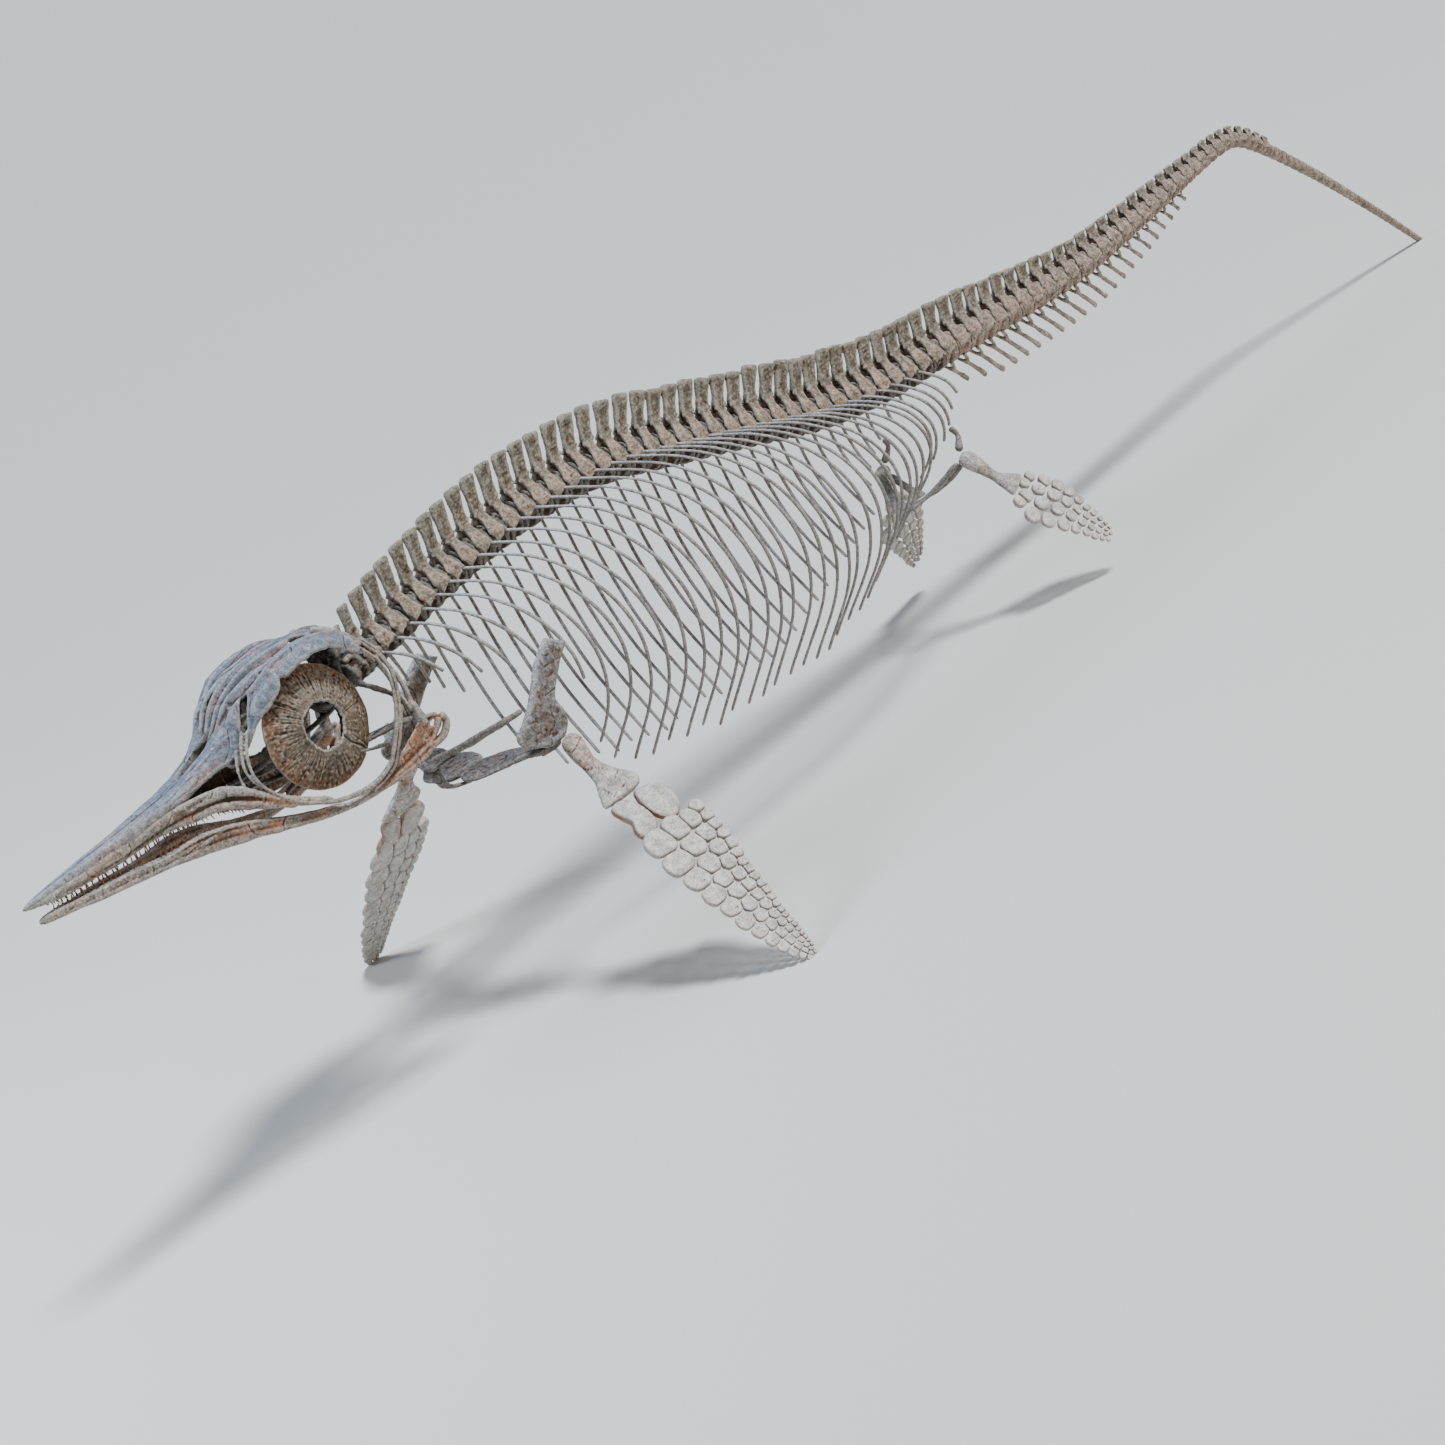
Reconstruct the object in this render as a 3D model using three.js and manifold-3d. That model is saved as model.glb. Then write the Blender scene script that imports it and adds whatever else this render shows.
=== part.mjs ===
// Ichthyosaur skeleton, every bone where it lay in life.
// Units are millimetres. +Z is up, the head points to -X, the left side is at -Y.
// The skeleton stands on the tips of both fore paddles and on the end of the tail, all at z = 0.
import * as THREE from "three";
import { mergeVertices } from "three/addons/utils/BufferGeometryUtils.js";
import Module from "manifold-3d";

const wasm = await Module();
wasm.setup();

// Driving dimensions of the backbone: its route in the middle plane, as x and z.
const BACKBONE = [
  [-1360, 738], [-1273, 754], [-1065, 784], [-833, 803], [-597, 786], [-391, 728], [-182, 662],
  [20, 597], [252, 556], [463, 540], [707, 517], [927, 502], [1138, 508], [1401, 522],
  [1560, 527], [1640, 508], [1731, 438], [1873, 304], [2028, 142], [2160.6, -6],
];
const FIRST_VERTEBRA_X = -1327;
const JOINT_GAP = 0.4;
const TAIL_END_SPARE = 14;
const SPINE_LEAN = THREE.MathUtils.degToRad(14);
// Half lengths of a spine as shares of the pitch, and levels as shares of the centrum's radius.
const SPINE = { foot: 0.36, neck: 0.24, flare: 0.4, root: 0.6, slot: 1.14, neckHeight: 0.42 };
const CENTRUM_SIDES = 6;
const WAIST = 0.8;

// Each table runs over the number of the vertebra, counted from 0 behind the skull.
const PITCH = [[0, 42], [20, 45], [41, 47], [51, 46], [72, 30], [77, 26], [102, 22]];
const SPINE_HEIGHT = [
  [0, 92], [1, 113], [6, 126], [11, 131], [31, 130], [41, 108], [51, 70], [61, 48], [72, 24], [102, 10],
];
const CENTRUM_RADIUS = [
  [0, 29], [4, 35], [12, 38], [24, 40], [36, 38], [45, 33], [55, 28], [65, 22], [73, 16], [84, 12], [102, 7],
];
const RIB_WIDTH = [
  [1, 100], [2, 116], [3, 135], [5, 186], [6, 196], [9, 216], [13, 234], [19, 240], [25, 212], [29, 170],
  [33, 125], [35, 105], [37, 80],
];
const RIB_DEPTH = [
  [1, 380], [5, 450], [9, 530], [13, 578], [17, 575], [21, 540], [25, 450], [29, 335], [32, 250], [35, 210],
  [37, 160],
];
const RIB_SWEEP = [[1, 100], [7, 140], [13, 156], [25, 146], [31, 115], [35, 60], [37, 55]];
const RIB_REACH = [
  [1, 0.36], [2, 0.46], [3, 0.53], [4, 0.6], [5, 0.67], [6, 0.92], [7, 1], [31, 1], [33, 0.85], [35, 0.72],
  [37, 0.6],
];
const CHEVRON_LENGTH = [[40, 80], [42, 118], [47, 112], [51, 98], [56, 72], [62, 26]];
const FIRST_CHEVRON = 40;
const LAST_CHEVRON = 61;

// A rib's course as shares of its sweep backwards, its width and its depth. Its root is in the
// centrum, and lies there at shares of the centrum's radius.
const RIB_SHAPE = [
  [0.45, 0.6, 0.08], [0.83, 0.92, 0.265], [1, 1.03, 0.5], [0.95, 0.86, 0.74], [0.74, 0.36, 1],
];
const RIB_ROOT = { out: 0.45, up: 0.2 };
const RIB_RADIUS = 6.5;
const RIB_TIP_RADIUS = 4.5;
const RIB_SIDES = 3;
const RIB_STEPS = 4;
const LAST_TRUNK_RIB = 37;

// The first vertebra of each stretch of the backbone that is one node.
const TRUNK_STARTS = [0, 4, 8, 12, 16, 20, 24, 28, 30, 32, 36];
const TAIL_STARTS = [40, 45, 50, 55, 60, 66];
const FLUKE_STARTS = [73, 86];

const boneColours = {
  vertebra: 0xb3a695,
  fluke: 0x9d9385,
  skull: 0xa9a196,
  jaw: 0xa1988b,
  ring: 0x8c8070,
  girdle: 0x82766a,
  limb: 0xc9c6c0,
};
const skeleton = new THREE.Group();

// A straight-line reading of a table of [number, value] pairs.
function read(table, at) {
  if (at <= table[0][0]) return table[0][1];
  for (let k = 1; k < table.length; k++) {
    const [x1, y1] = table[k];
    if (at <= x1) {
      const [x0, y0] = table[k - 1];
      return y0 + ((y1 - y0) * (at - x0)) / (x1 - x0);
    }
  }
  return table[table.length - 1][1];
}

function point([x, y, z]) {
  return new THREE.Vector3(x, y, z);
}

function smoothCurve(points) {
  return new THREE.CatmullRomCurve3(points.map(point), false, "catmullrom");
}

// The triangles of a flat cap on a ring of points, wound as the ring is.
function capOf(ring) {
  const normal = new THREE.Vector3();
  ring.forEach((a, i) => {
    const b = ring[(i + 1) % ring.length];
    normal.x += (a.y - b.y) * (a.z + b.z);
    normal.y += (a.z - b.z) * (a.x + b.x);
    normal.z += (a.x - b.x) * (a.y + b.y);
  });
  normal.normalize();
  const across = Math.abs(normal.x) > 0.7 ? new THREE.Vector3(0, 1, 0) : new THREE.Vector3(1, 0, 0);
  const right = across.addScaledVector(normal, -across.dot(normal)).normalize();
  const up = new THREE.Vector3().crossVectors(normal, right);
  const flat = ring.map((p) => new THREE.Vector2(p.dot(right), p.dot(up)));
  const area = THREE.ShapeUtils.area(flat);
  return THREE.ShapeUtils.triangulateShape(flat, []).map(([a, b, c]) => {
    const turn = THREE.ShapeUtils.area([flat[a], flat[b], flat[c]]);
    return turn * area > 0 ? [a, b, c] : [a, c, b];
  });
}

// A closed skin over rings that all have the same number of points.
function loft(rings) {
  const count = rings[0].length;
  const vertices = rings.flat();
  const triangles = [];
  for (let k = 0; k + 1 < rings.length; k++) {
    for (let i = 0; i < count; i++) {
      const j = (i + 1) % count;
      const [a, b, c, d] = [k * count + i, k * count + j, (k + 1) * count + j, (k + 1) * count + i];
      triangles.push([a, b, c], [a, c, d]);
    }
  }
  const last = (rings.length - 1) * count;
  capOf(rings[0]).forEach(([a, b, c]) => triangles.push([a, c, b]));
  capOf(rings[rings.length - 1]).forEach(([a, b, c]) => triangles.push([last + a, last + b, last + c]));
  let volume = 0;
  const crossed = new THREE.Vector3();
  for (const [a, b, c] of triangles) {
    volume += vertices[a].dot(crossed.crossVectors(vertices[b], vertices[c]));
  }
  const outward = volume > 0 ? triangles : triangles.map(([a, b, c]) => [a, c, b]);
  const geometry = new THREE.BufferGeometry().setFromPoints(vertices);
  geometry.setIndex(outward.flat());
  return geometry;
}

// A closed three.js geometry as a solid that can be joined and cut.
function solid(geometry) {
  geometry.deleteAttribute("normal");
  geometry.deleteAttribute("uv");
  const merged = mergeVertices(geometry, 1e-3);
  const vertProperties = new Float32Array(merged.attributes.position.array);
  const triVerts = new Uint32Array(merged.index.array);
  return new wasm.Manifold(new wasm.Mesh({ numProp: 3, vertProperties, triVerts }));
}

function join(solids) {
  return solids.reduce((whole, piece) => whole.add(piece));
}

function addBone(name, shape, colour) {
  const mesh = shape.getMesh();
  const geometry = new THREE.BufferGeometry();
  geometry.setAttribute("position", new THREE.Float32BufferAttribute(mesh.vertProperties, 3));
  geometry.setIndex(new THREE.Uint32BufferAttribute(mesh.triVerts, 1));
  geometry.computeVertexNormals();
  const look = { color: colour, roughness: 0.8, metalness: 0, flatShading: true };
  const material = new THREE.MeshStandardMaterial(look);
  const bone = new THREE.Mesh(geometry, material);
  bone.name = name;
  skeleton.add(bone);
}

// Everything below the surface that the skeleton stands on.
const below = new THREE.BoxGeometry(6000, 3000, 100);
below.translate(0, 0, -50);
const ground = solid(below);

// A bone like a bar along a smooth curve. Its half sizes across and along `up` run evenly over
// their lists. `side` is -1 on the left and mirrors the bone.
function bar({ course, across, upward, sides = 4, steps = 4, up = [0, 0, 1] }, side = 1) {
  const curve = smoothCurve(course);
  const spread = (sizes, t) => read(sizes.map((size, k) => [k / (sizes.length - 1), size]), t);
  const rings = [];
  for (let k = 0; k <= steps; k++) {
    const t = k / steps;
    const centre = curve.getPoint(t);
    const along = curve.getTangent(t);
    const right = new THREE.Vector3().crossVectors(along, point(up)).normalize();
    const above = new THREE.Vector3().crossVectors(right, along);
    const ring = [];
    for (let i = 0; i < sides; i++) {
      const angle = (2 * Math.PI * (i + 0.5)) / sides;
      const corner = centre.clone().addScaledVector(right, Math.cos(angle) * spread(across, t));
      corner.addScaledVector(above, Math.sin(angle) * spread(upward, t));
      corner.y *= side;
      ring.push(corner);
    }
    rings.push(ring);
  }
  return solid(loft(rings));
}

// The backbone.
const backbone = smoothCurve(BACKBONE.map(([x, z]) => [x, 0, z]));
backbone.arcLengthDivisions = 2000;
const backboneLength = backbone.getLength();

// The distance along the backbone where it has come to x, found by halving.
function distanceAtX(x) {
  let [low, high] = [0, backboneLength / 2];
  while (high - low > 0.01) {
    const middle = (low + high) / 2;
    if (backbone.getPointAt(middle / backboneLength).x < x) low = middle;
    else high = middle;
  }
  return low;
}

function placeAt(distance) {
  const share = THREE.MathUtils.clamp(distance / backboneLength, 0, 1);
  const centre = backbone.getPointAt(share);
  const along = backbone.getTangentAt(share);
  const above = new THREE.Vector3(-along.z, 0, along.x);
  return { centre, along, above, distance };
}

const vertebrae = [];
for (let distance = distanceAtX(FIRST_VERTEBRA_X); distance < backboneLength - TAIL_END_SPARE; ) {
  const number = vertebrae.length;
  const pitch = read(PITCH, number);
  vertebrae.push({ number, pitch, ...placeAt(distance) });
  distance += (pitch + read(PITCH, number + 1)) / 2;
}

function startOf(vertebra) {
  return vertebra.distance - vertebra.pitch / 2;
}

function roundRing({ centre, above }, radius, sides) {
  const ring = [];
  for (let i = 0; i < sides; i++) {
    const angle = (2 * Math.PI * i) / sides;
    const corner = centre.clone().addScaledVector(above, Math.sin(angle) * radius);
    corner.y = Math.cos(angle) * radius;
    ring.push(corner);
  }
  return ring;
}

// The round bodies of a run of vertebrae, each drawn in at its middle as far as the fluke.
function centra(run, endGap) {
  const rings = [];
  run.forEach((vertebra, k) => {
    const radius = read(CENTRUM_RADIUS, vertebra.number);
    const start = startOf(vertebra) + (k === 0 ? endGap : 0);
    rings.push(roundRing(placeAt(start), radius, CENTRUM_SIDES));
    if (vertebra.number < FLUKE_STARTS[0]) rings.push(roundRing(vertebra, radius * WAIST, CENTRUM_SIDES));
  });
  const last = run[run.length - 1];
  const end = last === vertebrae.at(-1) ? backboneLength : startOf(last) + last.pitch - endGap;
  rings.push(roundRing(placeAt(end), read(CENTRUM_RADIUS, last.number), CENTRUM_SIDES));
  return solid(loft(rings));
}

// The levels of a spine's top and neck, as shares of its centrum's radius.
function topLevel({ number }) {
  return read(SPINE_HEIGHT, number) / read(CENTRUM_RADIUS, number);
}

function neckLevel(top) {
  return 1 + SPINE.neckHeight * (top - 1);
}

// The neural arches and spines of a run of vertebrae as one comb: each spine is narrow at its
// neck and flared at its top, and the slot between two of them ends over the joint.
function spineRow(run) {
  const [first, last] = [run[0], run[run.length - 1]];
  const corners = [[first, -SPINE.foot, SPINE.root], [first, -SPINE.foot, SPINE.slot]];
  run.forEach((vertebra, k) => {
    if (k > 0) corners.push([vertebra, -0.5, SPINE.slot]);
    const top = topLevel(vertebra);
    const neck = neckLevel(top);
    corners.push([vertebra, -SPINE.neck, neck], [vertebra, -SPINE.flare, top]);
    corners.push([vertebra, SPINE.flare, top], [vertebra, SPINE.neck, neck]);
  });
  corners.push([last, SPINE.foot, SPINE.slot], [last, SPINE.foot, SPINE.root]);
  const faces = [-1, 1].map((side) => corners.map(([vertebra, forth, level]) => {
    const radius = read(CENTRUM_RADIUS, vertebra.number);
    const top = topLevel(vertebra);
    const halfWidth = read([[SPINE.slot, 0.34], [neckLevel(top), 0.18], [top, 0.12]], level);
    const lean = Math.tan(SPINE_LEAN) * Math.max(0, level - SPINE.slot) * radius;
    const corner = vertebra.centre.clone()
      .addScaledVector(vertebra.above, level * radius)
      .addScaledVector(vertebra.along, forth * vertebra.pitch + lean);
    corner.y = side * halfWidth * radius;
    return corner;
  }));
  return solid(loft(faces));
}

function ribCourse({ centre, number }, side) {
  const width = read(RIB_WIDTH, number);
  const depth = read(RIB_DEPTH, number);
  const sweep = read(RIB_SWEEP, number);
  const radius = read(CENTRUM_RADIUS, number);
  const root = [centre.x, side * RIB_ROOT.out * radius, centre.z + RIB_ROOT.up * radius];
  const course = RIB_SHAPE.map(([back, out, down]) => [
    centre.x + back * sweep, side * out * width, centre.z - down * depth,
  ]);
  return smoothCurve([root, ...course]);
}

function rib(vertebra, side) {
  const course = ribCourse(vertebra, side);
  const reach = read(RIB_REACH, vertebra.number);
  const rings = [];
  for (let k = 0; k <= RIB_STEPS; k++) {
    const share = k / RIB_STEPS;
    const centre = course.getPoint(share * reach);
    const along = course.getTangent(share * reach);
    const back = new THREE.Vector3(1, 0, 0).addScaledVector(along, -along.x).normalize();
    const out = new THREE.Vector3().crossVectors(along, back);
    const radius = THREE.MathUtils.lerp(RIB_RADIUS, RIB_TIP_RADIUS, share);
    const ring = [];
    for (let i = 0; i < RIB_SIDES; i++) {
      const angle = (2 * Math.PI * i) / RIB_SIDES;
      const corner = centre.clone().addScaledVector(back, Math.cos(angle) * radius);
      ring.push(corner.addScaledVector(out, Math.sin(angle) * radius));
    }
    rings.push(ring);
  }
  return solid(loft(rings));
}

// The small bone that hangs under a tail vertebra and points backwards.
function chevron({ centre, number, pitch }) {
  const radius = read(CENTRUM_RADIUS, number);
  const length = read(CHEVRON_LENGTH, number);
  const top = [centre.x, 0, centre.z - 0.5 * radius];
  const foot = [centre.x + 0.57 * length, 0, centre.z - radius - 0.72 * length];
  return bar({
    course: [top, foot],
    across: [0.2 * radius, 0.12 * radius],
    upward: [0.2 * pitch, 0.16 * pitch],
    steps: 1,
    up: [1, 0, 0],
  });
}

function addSections(prefix, starts, stop, colour) {
  starts.forEach((start, k) => {
    const run = vertebrae.slice(start, starts[k + 1] ?? stop);
    const pieces = [centra(run, JOINT_GAP / 2)];
    if (start < FLUKE_STARTS[0]) pieces.push(spineRow(run));
    for (const vertebra of run) {
      const { number } = vertebra;
      if (number >= 1 && number <= LAST_TRUNK_RIB) pieces.push(rib(vertebra, -1), rib(vertebra, 1));
      if (number >= FIRST_CHEVRON && number <= LAST_CHEVRON) pieces.push(chevron(vertebra));
    }
    addBone(`${prefix}_${k + 1}`, join(pieces).subtract(ground), colour);
  });
}
addSections("backbone_and_ribs", TRUNK_STARTS, TAIL_STARTS[0], boneColours.vertebra);
addSections("tail_vertebrae", TAIL_STARTS, FLUKE_STARTS[0], boneColours.vertebra);
addSections("fluke_vertebrae", FLUKE_STARTS, vertebrae.length, boneColours.fluke);

// The skull. Stations of the snout: x, top, underside and half width.
const SNOUT = [
  [-2165, 748, 744, 3], [-2132, 753, 735, 9], [-2067, 757, 724, 17], [-1970, 761, 716, 27],
  [-1860, 767, 714, 41], [-1786, 779, 706, 51],
];
// Stations of the roof: x, ridge height, shoulder y and z, edge y and z.
const ROOF = [
  [-1810, 774, 22, 766, 44, 742], [-1720, 802, 28, 794, 56, 764], [-1680, 822, 34, 812, 70, 770],
  [-1640, 846, 46, 838, 86, 796], [-1592, 864, 64, 857, 119, 824], [-1545, 874, 72, 871, 127, 850],
  [-1480, 878, 76, 876, 131, 858], [-1430, 875, 80, 872, 136, 846], [-1384, 867, 84, 856, 146, 806],
];
const ROOF_THICKNESS = 10;
const ROOF_INSIDE = 0.96;
const ORBIT_RIM = {
  course: [
    [-1640, 84, 796], [-1668, 88, 756], [-1678, 96, 717], [-1665, 104, 682], [-1630, 116, 640],
    [-1568, 132, 606], [-1505, 145, 596], [-1456, 153, 608], [-1428, 157, 636], [-1398, 158, 676],
    [-1373, 155, 728], [-1371, 150, 772], [-1392, 144, 816],
  ],
  across: [7, 8, 7, 8, 9, 8],
  upward: [7, 8, 8, 9, 9, 8],
  steps: 13,
  up: [0, 1, 0],
};
const MAXILLA = {
  course: [
    [-1815, 44, 728], [-1765, 58, 720], [-1716, 76, 698], [-1680, 92, 672], [-1630, 112, 636],
    [-1585, 124, 614],
  ],
  across: [10, 12, 10, 6],
  upward: [15, 19, 16, 7],
  sides: 5,
};
const LACRIMAL = {
  course: [[-1672, 70, 774], [-1690, 76, 738], [-1692, 84, 696]],
  across: [9, 7, 10],
  upward: [8, 6, 8],
  steps: 3,
  up: [0, 1, 0],
};
const PTERYGOID = {
  course: [[-1806, 18, 718], [-1660, 40, 690], [-1540, 56, 668], [-1440, 84, 652], [-1343, 144, 648]],
  across: [12, 18, 20, 12],
  upward: [4, 4, 4, 8],
};
const TEMPLE_BAR = {
  course: [[-1388, 30, 862], [-1362, 52, 842], [-1342, 74, 806], [-1325, 90, 782]],
  across: [10, 9, 8],
  upward: [10, 9, 8],
  steps: 3,
  up: [0, 1, 0],
};
const CHEEK_STRUT = {
  course: [[-1340, 76, 804], [-1322, 104, 752], [-1326, 126, 700], [-1343, 142, 650]],
  across: [6, 7, 9],
  upward: [6, 7, 9],
  steps: 3,
  up: [0, 1, 0],
};
const CHEEK_LINK = {
  course: [[-1325, 88, 784], [-1345, 122, 786], [-1370, 148, 782]],
  across: [7, 7],
  upward: [7, 7],
  steps: 1,
};
const QUADRATE = {
  course: [[-1340, 138, 672], [-1343, 147, 646], [-1345, 151, 619]],
  across: [10, 13, 16],
  upward: [10, 12, 14],
  sides: 5,
  steps: 2,
  up: [1, 0, 0],
};
const PAIRED_SKULL_BONES = [
  ORBIT_RIM, MAXILLA, LACRIMAL, PTERYGOID, TEMPLE_BAR, CHEEK_STRUT, CHEEK_LINK, QUADRATE,
];
const PARASPHENOID = {
  course: [[-1800, 0, 724], [-1620, 0, 704], [-1440, 0, 706], [-1380, 0, 724]],
  across: [9, 8, 12],
  upward: [7, 6, 10],
};
const BRAINCASE = {
  course: [[-1440, 0, 730], [-1400, 0, 742], [-1366, 0, 744]],
  across: [34, 36, 24],
  upward: [26, 30, 22],
  sides: 6,
  steps: 2,
};
const OCCIPUT = {
  course: [[-1372, 0, 862], [-1376, 0, 800], [-1376, 0, 750]],
  across: [48, 52, 34],
  upward: [8, 8, 8],
  steps: 2,
  up: [1, 0, 0],
};
const CONDYLE = { x: -1367.6, z: 744, radius: 19 };
const TEMPLE_WINDOW = { x: -1406, y: 54, long: 26, wide: 13, turn: 0.7 };

// The tooth row: 9 teeth a side in each jaw, from near the tip to under the nostril.
const TOOTH_COUNT = 9;
const TOOTH_ROW = { front: -2118, back: -1786, upperShare: 0.72, lowerShare: 0.1 };
const TOOTH_LENGTH = 14;
const TOOTH_ROOT = 4;
const TOOTH_RADIUS = 3.2;

function snoutAt(x, column) {
  return read(SNOUT.map((station) => [station[0], station[column]]), x);
}

function snout() {
  const outline = [[0.5, 1], [1, 0.45], [0.8, 0], [-0.8, 0], [-1, 0.45], [-0.5, 1]];
  return solid(loft(SNOUT.map(([x, top, bottom, halfWidth]) => outline.map(([out, high]) => (
    new THREE.Vector3(x, out * halfWidth, bottom + high * (top - bottom))
  )))));
}

function skullRoof() {
  return solid(loft(ROOF.map(([x, ridge, shoulderY, shoulderZ, edgeY, edgeZ]) => {
    const half = [[edgeY, edgeZ], [shoulderY, shoulderZ]];
    const outer = [...half, [0, ridge], [-shoulderY, shoulderZ], [-edgeY, edgeZ]];
    const inner = outer.map(([y, z]) => [y * ROOF_INSIDE, z - ROOF_THICKNESS]).reverse();
    return [...outer, ...inner].map(([y, z]) => new THREE.Vector3(x, y, z));
  })));
}

// One cone, its foot sunk a little into the jaw that carries it.
function tooth(x, y, z, direction) {
  const geometry = new THREE.ConeGeometry(TOOTH_RADIUS, TOOTH_LENGTH + TOOTH_ROOT, 3);
  geometry.rotateX(direction * Math.PI / 2);
  geometry.translate(x, y, z + (direction * (TOOTH_LENGTH - TOOTH_ROOT)) / 2);
  return solid(geometry);
}

function toothRow(edgeAt, direction, shift) {
  const teeth = [];
  for (let k = 0; k < TOOTH_COUNT; k++) {
    const x = THREE.MathUtils.lerp(TOOTH_ROW.front, TOOTH_ROW.back, (k + shift) / TOOTH_COUNT);
    const [y, z] = edgeAt(x);
    teeth.push(tooth(x, -y, z, direction), tooth(x, y, z, direction));
  }
  return teeth;
}

function templeWindow(side) {
  const geometry = new THREE.CylinderGeometry(1, 1, 90, 7);
  geometry.rotateX(Math.PI / 2);
  geometry.scale(TEMPLE_WINDOW.long, TEMPLE_WINDOW.wide, 1);
  geometry.rotateZ(side * TEMPLE_WINDOW.turn);
  geometry.translate(TEMPLE_WINDOW.x, side * TEMPLE_WINDOW.y, 860);
  return solid(geometry);
}

function cranium() {
  const pieces = [snout(), skullRoof(), bar(PARASPHENOID), bar(BRAINCASE), bar(OCCIPUT)];
  for (const bone of PAIRED_SKULL_BONES) pieces.push(bar(bone, -1), bar(bone, 1));
  const condyle = new THREE.SphereGeometry(CONDYLE.radius, 6, 4);
  condyle.translate(CONDYLE.x, 0, CONDYLE.z);
  pieces.push(solid(condyle));
  const upperEdge = (x) => [TOOTH_ROW.upperShare * snoutAt(x, 3), snoutAt(x, 2)];
  pieces.push(...toothRow(upperEdge, -1, 0.25));
  return join(pieces).subtract(templeWindow(-1)).subtract(templeWindow(1));
}
addBone("cranium", cranium(), boneColours.skull);

// The lower jaw. Stations of one side: x, y of its middle, top, underside and half thickness.
const JAW = [
  [-2141, 2, 711, 704, 4], [-2118, 5, 714, 701, 8], [-2041, 13, 706, 687, 15], [-1960, 23, 697, 674, 20],
  [-1885, 40, 686, 662, 16], [-1805, 56, 682, 643, 13], [-1732, 74, 660, 624, 11], [-1650, 93, 622, 598, 10],
  [-1552, 118, 588, 573, 9], [-1464, 137, 583, 568, 9], [-1391, 149, 596, 571, 11],
  [-1352, 153, 605, 580, 13],
  [-1326, 158, 612, 590, 11], [-1303, 162, 631, 610, 6],
];

function jawSide(side) {
  const outline = [[-0.6, 1], [0.6, 1], [1, 0.5], [0.6, 0], [-0.6, 0], [-1, 0.5]];
  return solid(loft(JAW.map(([x, y, top, bottom, thick]) => outline.map(([out, high]) => (
    new THREE.Vector3(x, side * y + out * thick, bottom + high * (top - bottom))
  )))));
}

function lowerJaw() {
  const jawAt = (x, column) => read(JAW.map((station) => [station[0], station[column]]), x);
  const upperEdge = (x) => [jawAt(x, 1) + TOOTH_ROW.lowerShare * jawAt(x, 4), jawAt(x, 2)];
  return join([jawSide(-1), jawSide(1), ...toothRow(upperEdge, 1, 0.75)]);
}
addBone("lower_jaw", lowerJaw(), boneColours.jaw);

// The ring of thin plates that lay in each eye, domed outwards.
const EYE = { x: -1522, y: 96, z: 729, outer: 118, inner: 43, dome: 27, thick: 5, forward: 0.1, up: 0.06 };
// The dome's section half way in: shares of the outer radius and of the dome's height.
const EYE_SHOULDER = { outside: [0.72, 0.7], inside: [0.7, 0.64] };
const RING_FACETS = 14;

function eyeRing(side) {
  const { outer, inner, dome, thick } = EYE;
  const { outside, inside } = EYE_SHOULDER;
  const profile = [
    [outer, 0], [outside[0] * outer, outside[1] * dome], [inner, dome],
    [inner, dome - thick], [inside[0] * outer, inside[1] * dome - thick], [outer - thick / 2, -thick],
  ].map(([radius, out]) => new THREE.Vector2(radius, out));
  const geometry = new THREE.LatheGeometry([...profile, profile[0]], RING_FACETS);
  geometry.rotateX(side < 0 ? Math.PI : 0);
  geometry.rotateZ(side * EYE.forward);
  geometry.rotateX(side * EYE.up);
  geometry.translate(EYE.x, side * EYE.y, EYE.z);
  return solid(geometry);
}
addBone("sclerotic_ring_left", eyeRing(-1), boneColours.ring);
addBone("sclerotic_ring_right", eyeRing(1), boneColours.ring);

const SIDES = [[-1, "left"], [1, "right"]];
const SHAFT_SIDES = 8;
// A pad's layers: the share of its outline, and the height as a share of its half thickness.
const PAD_LAYERS = [[0.82, -1], [1, -0.45], [1, 0.45], [0.82, 1]];
const BLADE_SHOULDER = 0.22;

// A frame that follows a limb: u runs from its joint to its tip, v backwards and w out of its flat face.
function limbFrame({ joint, tip }, side) {
  const origin = point(joint);
  const u = point(tip).sub(origin).normalize();
  const v = new THREE.Vector3(1, 0, 0).addScaledVector(u, -u.x).normalize();
  const w = new THREE.Vector3().crossVectors(v, u);
  return (along, back, out) => {
    const place = origin.clone().addScaledVector(u, along).addScaledVector(v, back).addScaledVector(w, out);
    place.y *= side;
    return place;
  };
}

// A long bone. Each station: u, v of its middle, half width and half thickness.
function shaft(stations, place) {
  return solid(loft(stations.map(([along, back, halfWidth, halfThick]) => {
    const ring = [];
    for (let i = 0; i < SHAFT_SIDES; i++) {
      const angle = (2 * Math.PI * (i + 0.5)) / SHAFT_SIDES;
      ring.push(place(along, back + Math.cos(angle) * halfWidth, Math.sin(angle) * halfThick));
    }
    return ring;
  })));
}

// A thick flat bone with rounded rims, from its outline in u and v.
function pad(outline, halfThick, place) {
  const middleU = outline.reduce((sum, [u]) => sum + u, 0) / outline.length;
  const middleV = outline.reduce((sum, [, v]) => sum + v, 0) / outline.length;
  return solid(loft(PAD_LAYERS.map(([scale, out]) => outline.map(([u, v]) => (
    place(middleU + scale * (u - middleU), middleV + scale * (v - middleV), out * halfThick)
  )))));
}

// A paddle of close-set finger bones as one lens-shaped blade.
// Each station: u, v of its front edge, v of its back edge and half thickness.
function blade(stations, place) {
  return solid(loft(stations.map(([along, front, back, halfThick]) => {
    const shoulder = BLADE_SHOULDER * (back - front);
    return [
      [front, 0], [front + shoulder, 1], [back - shoulder, 1],
      [back, 0], [back - shoulder, -1], [front + shoulder, -1],
    ].map(([v, out]) => place(along, v, out * halfThick));
  })));
}

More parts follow.
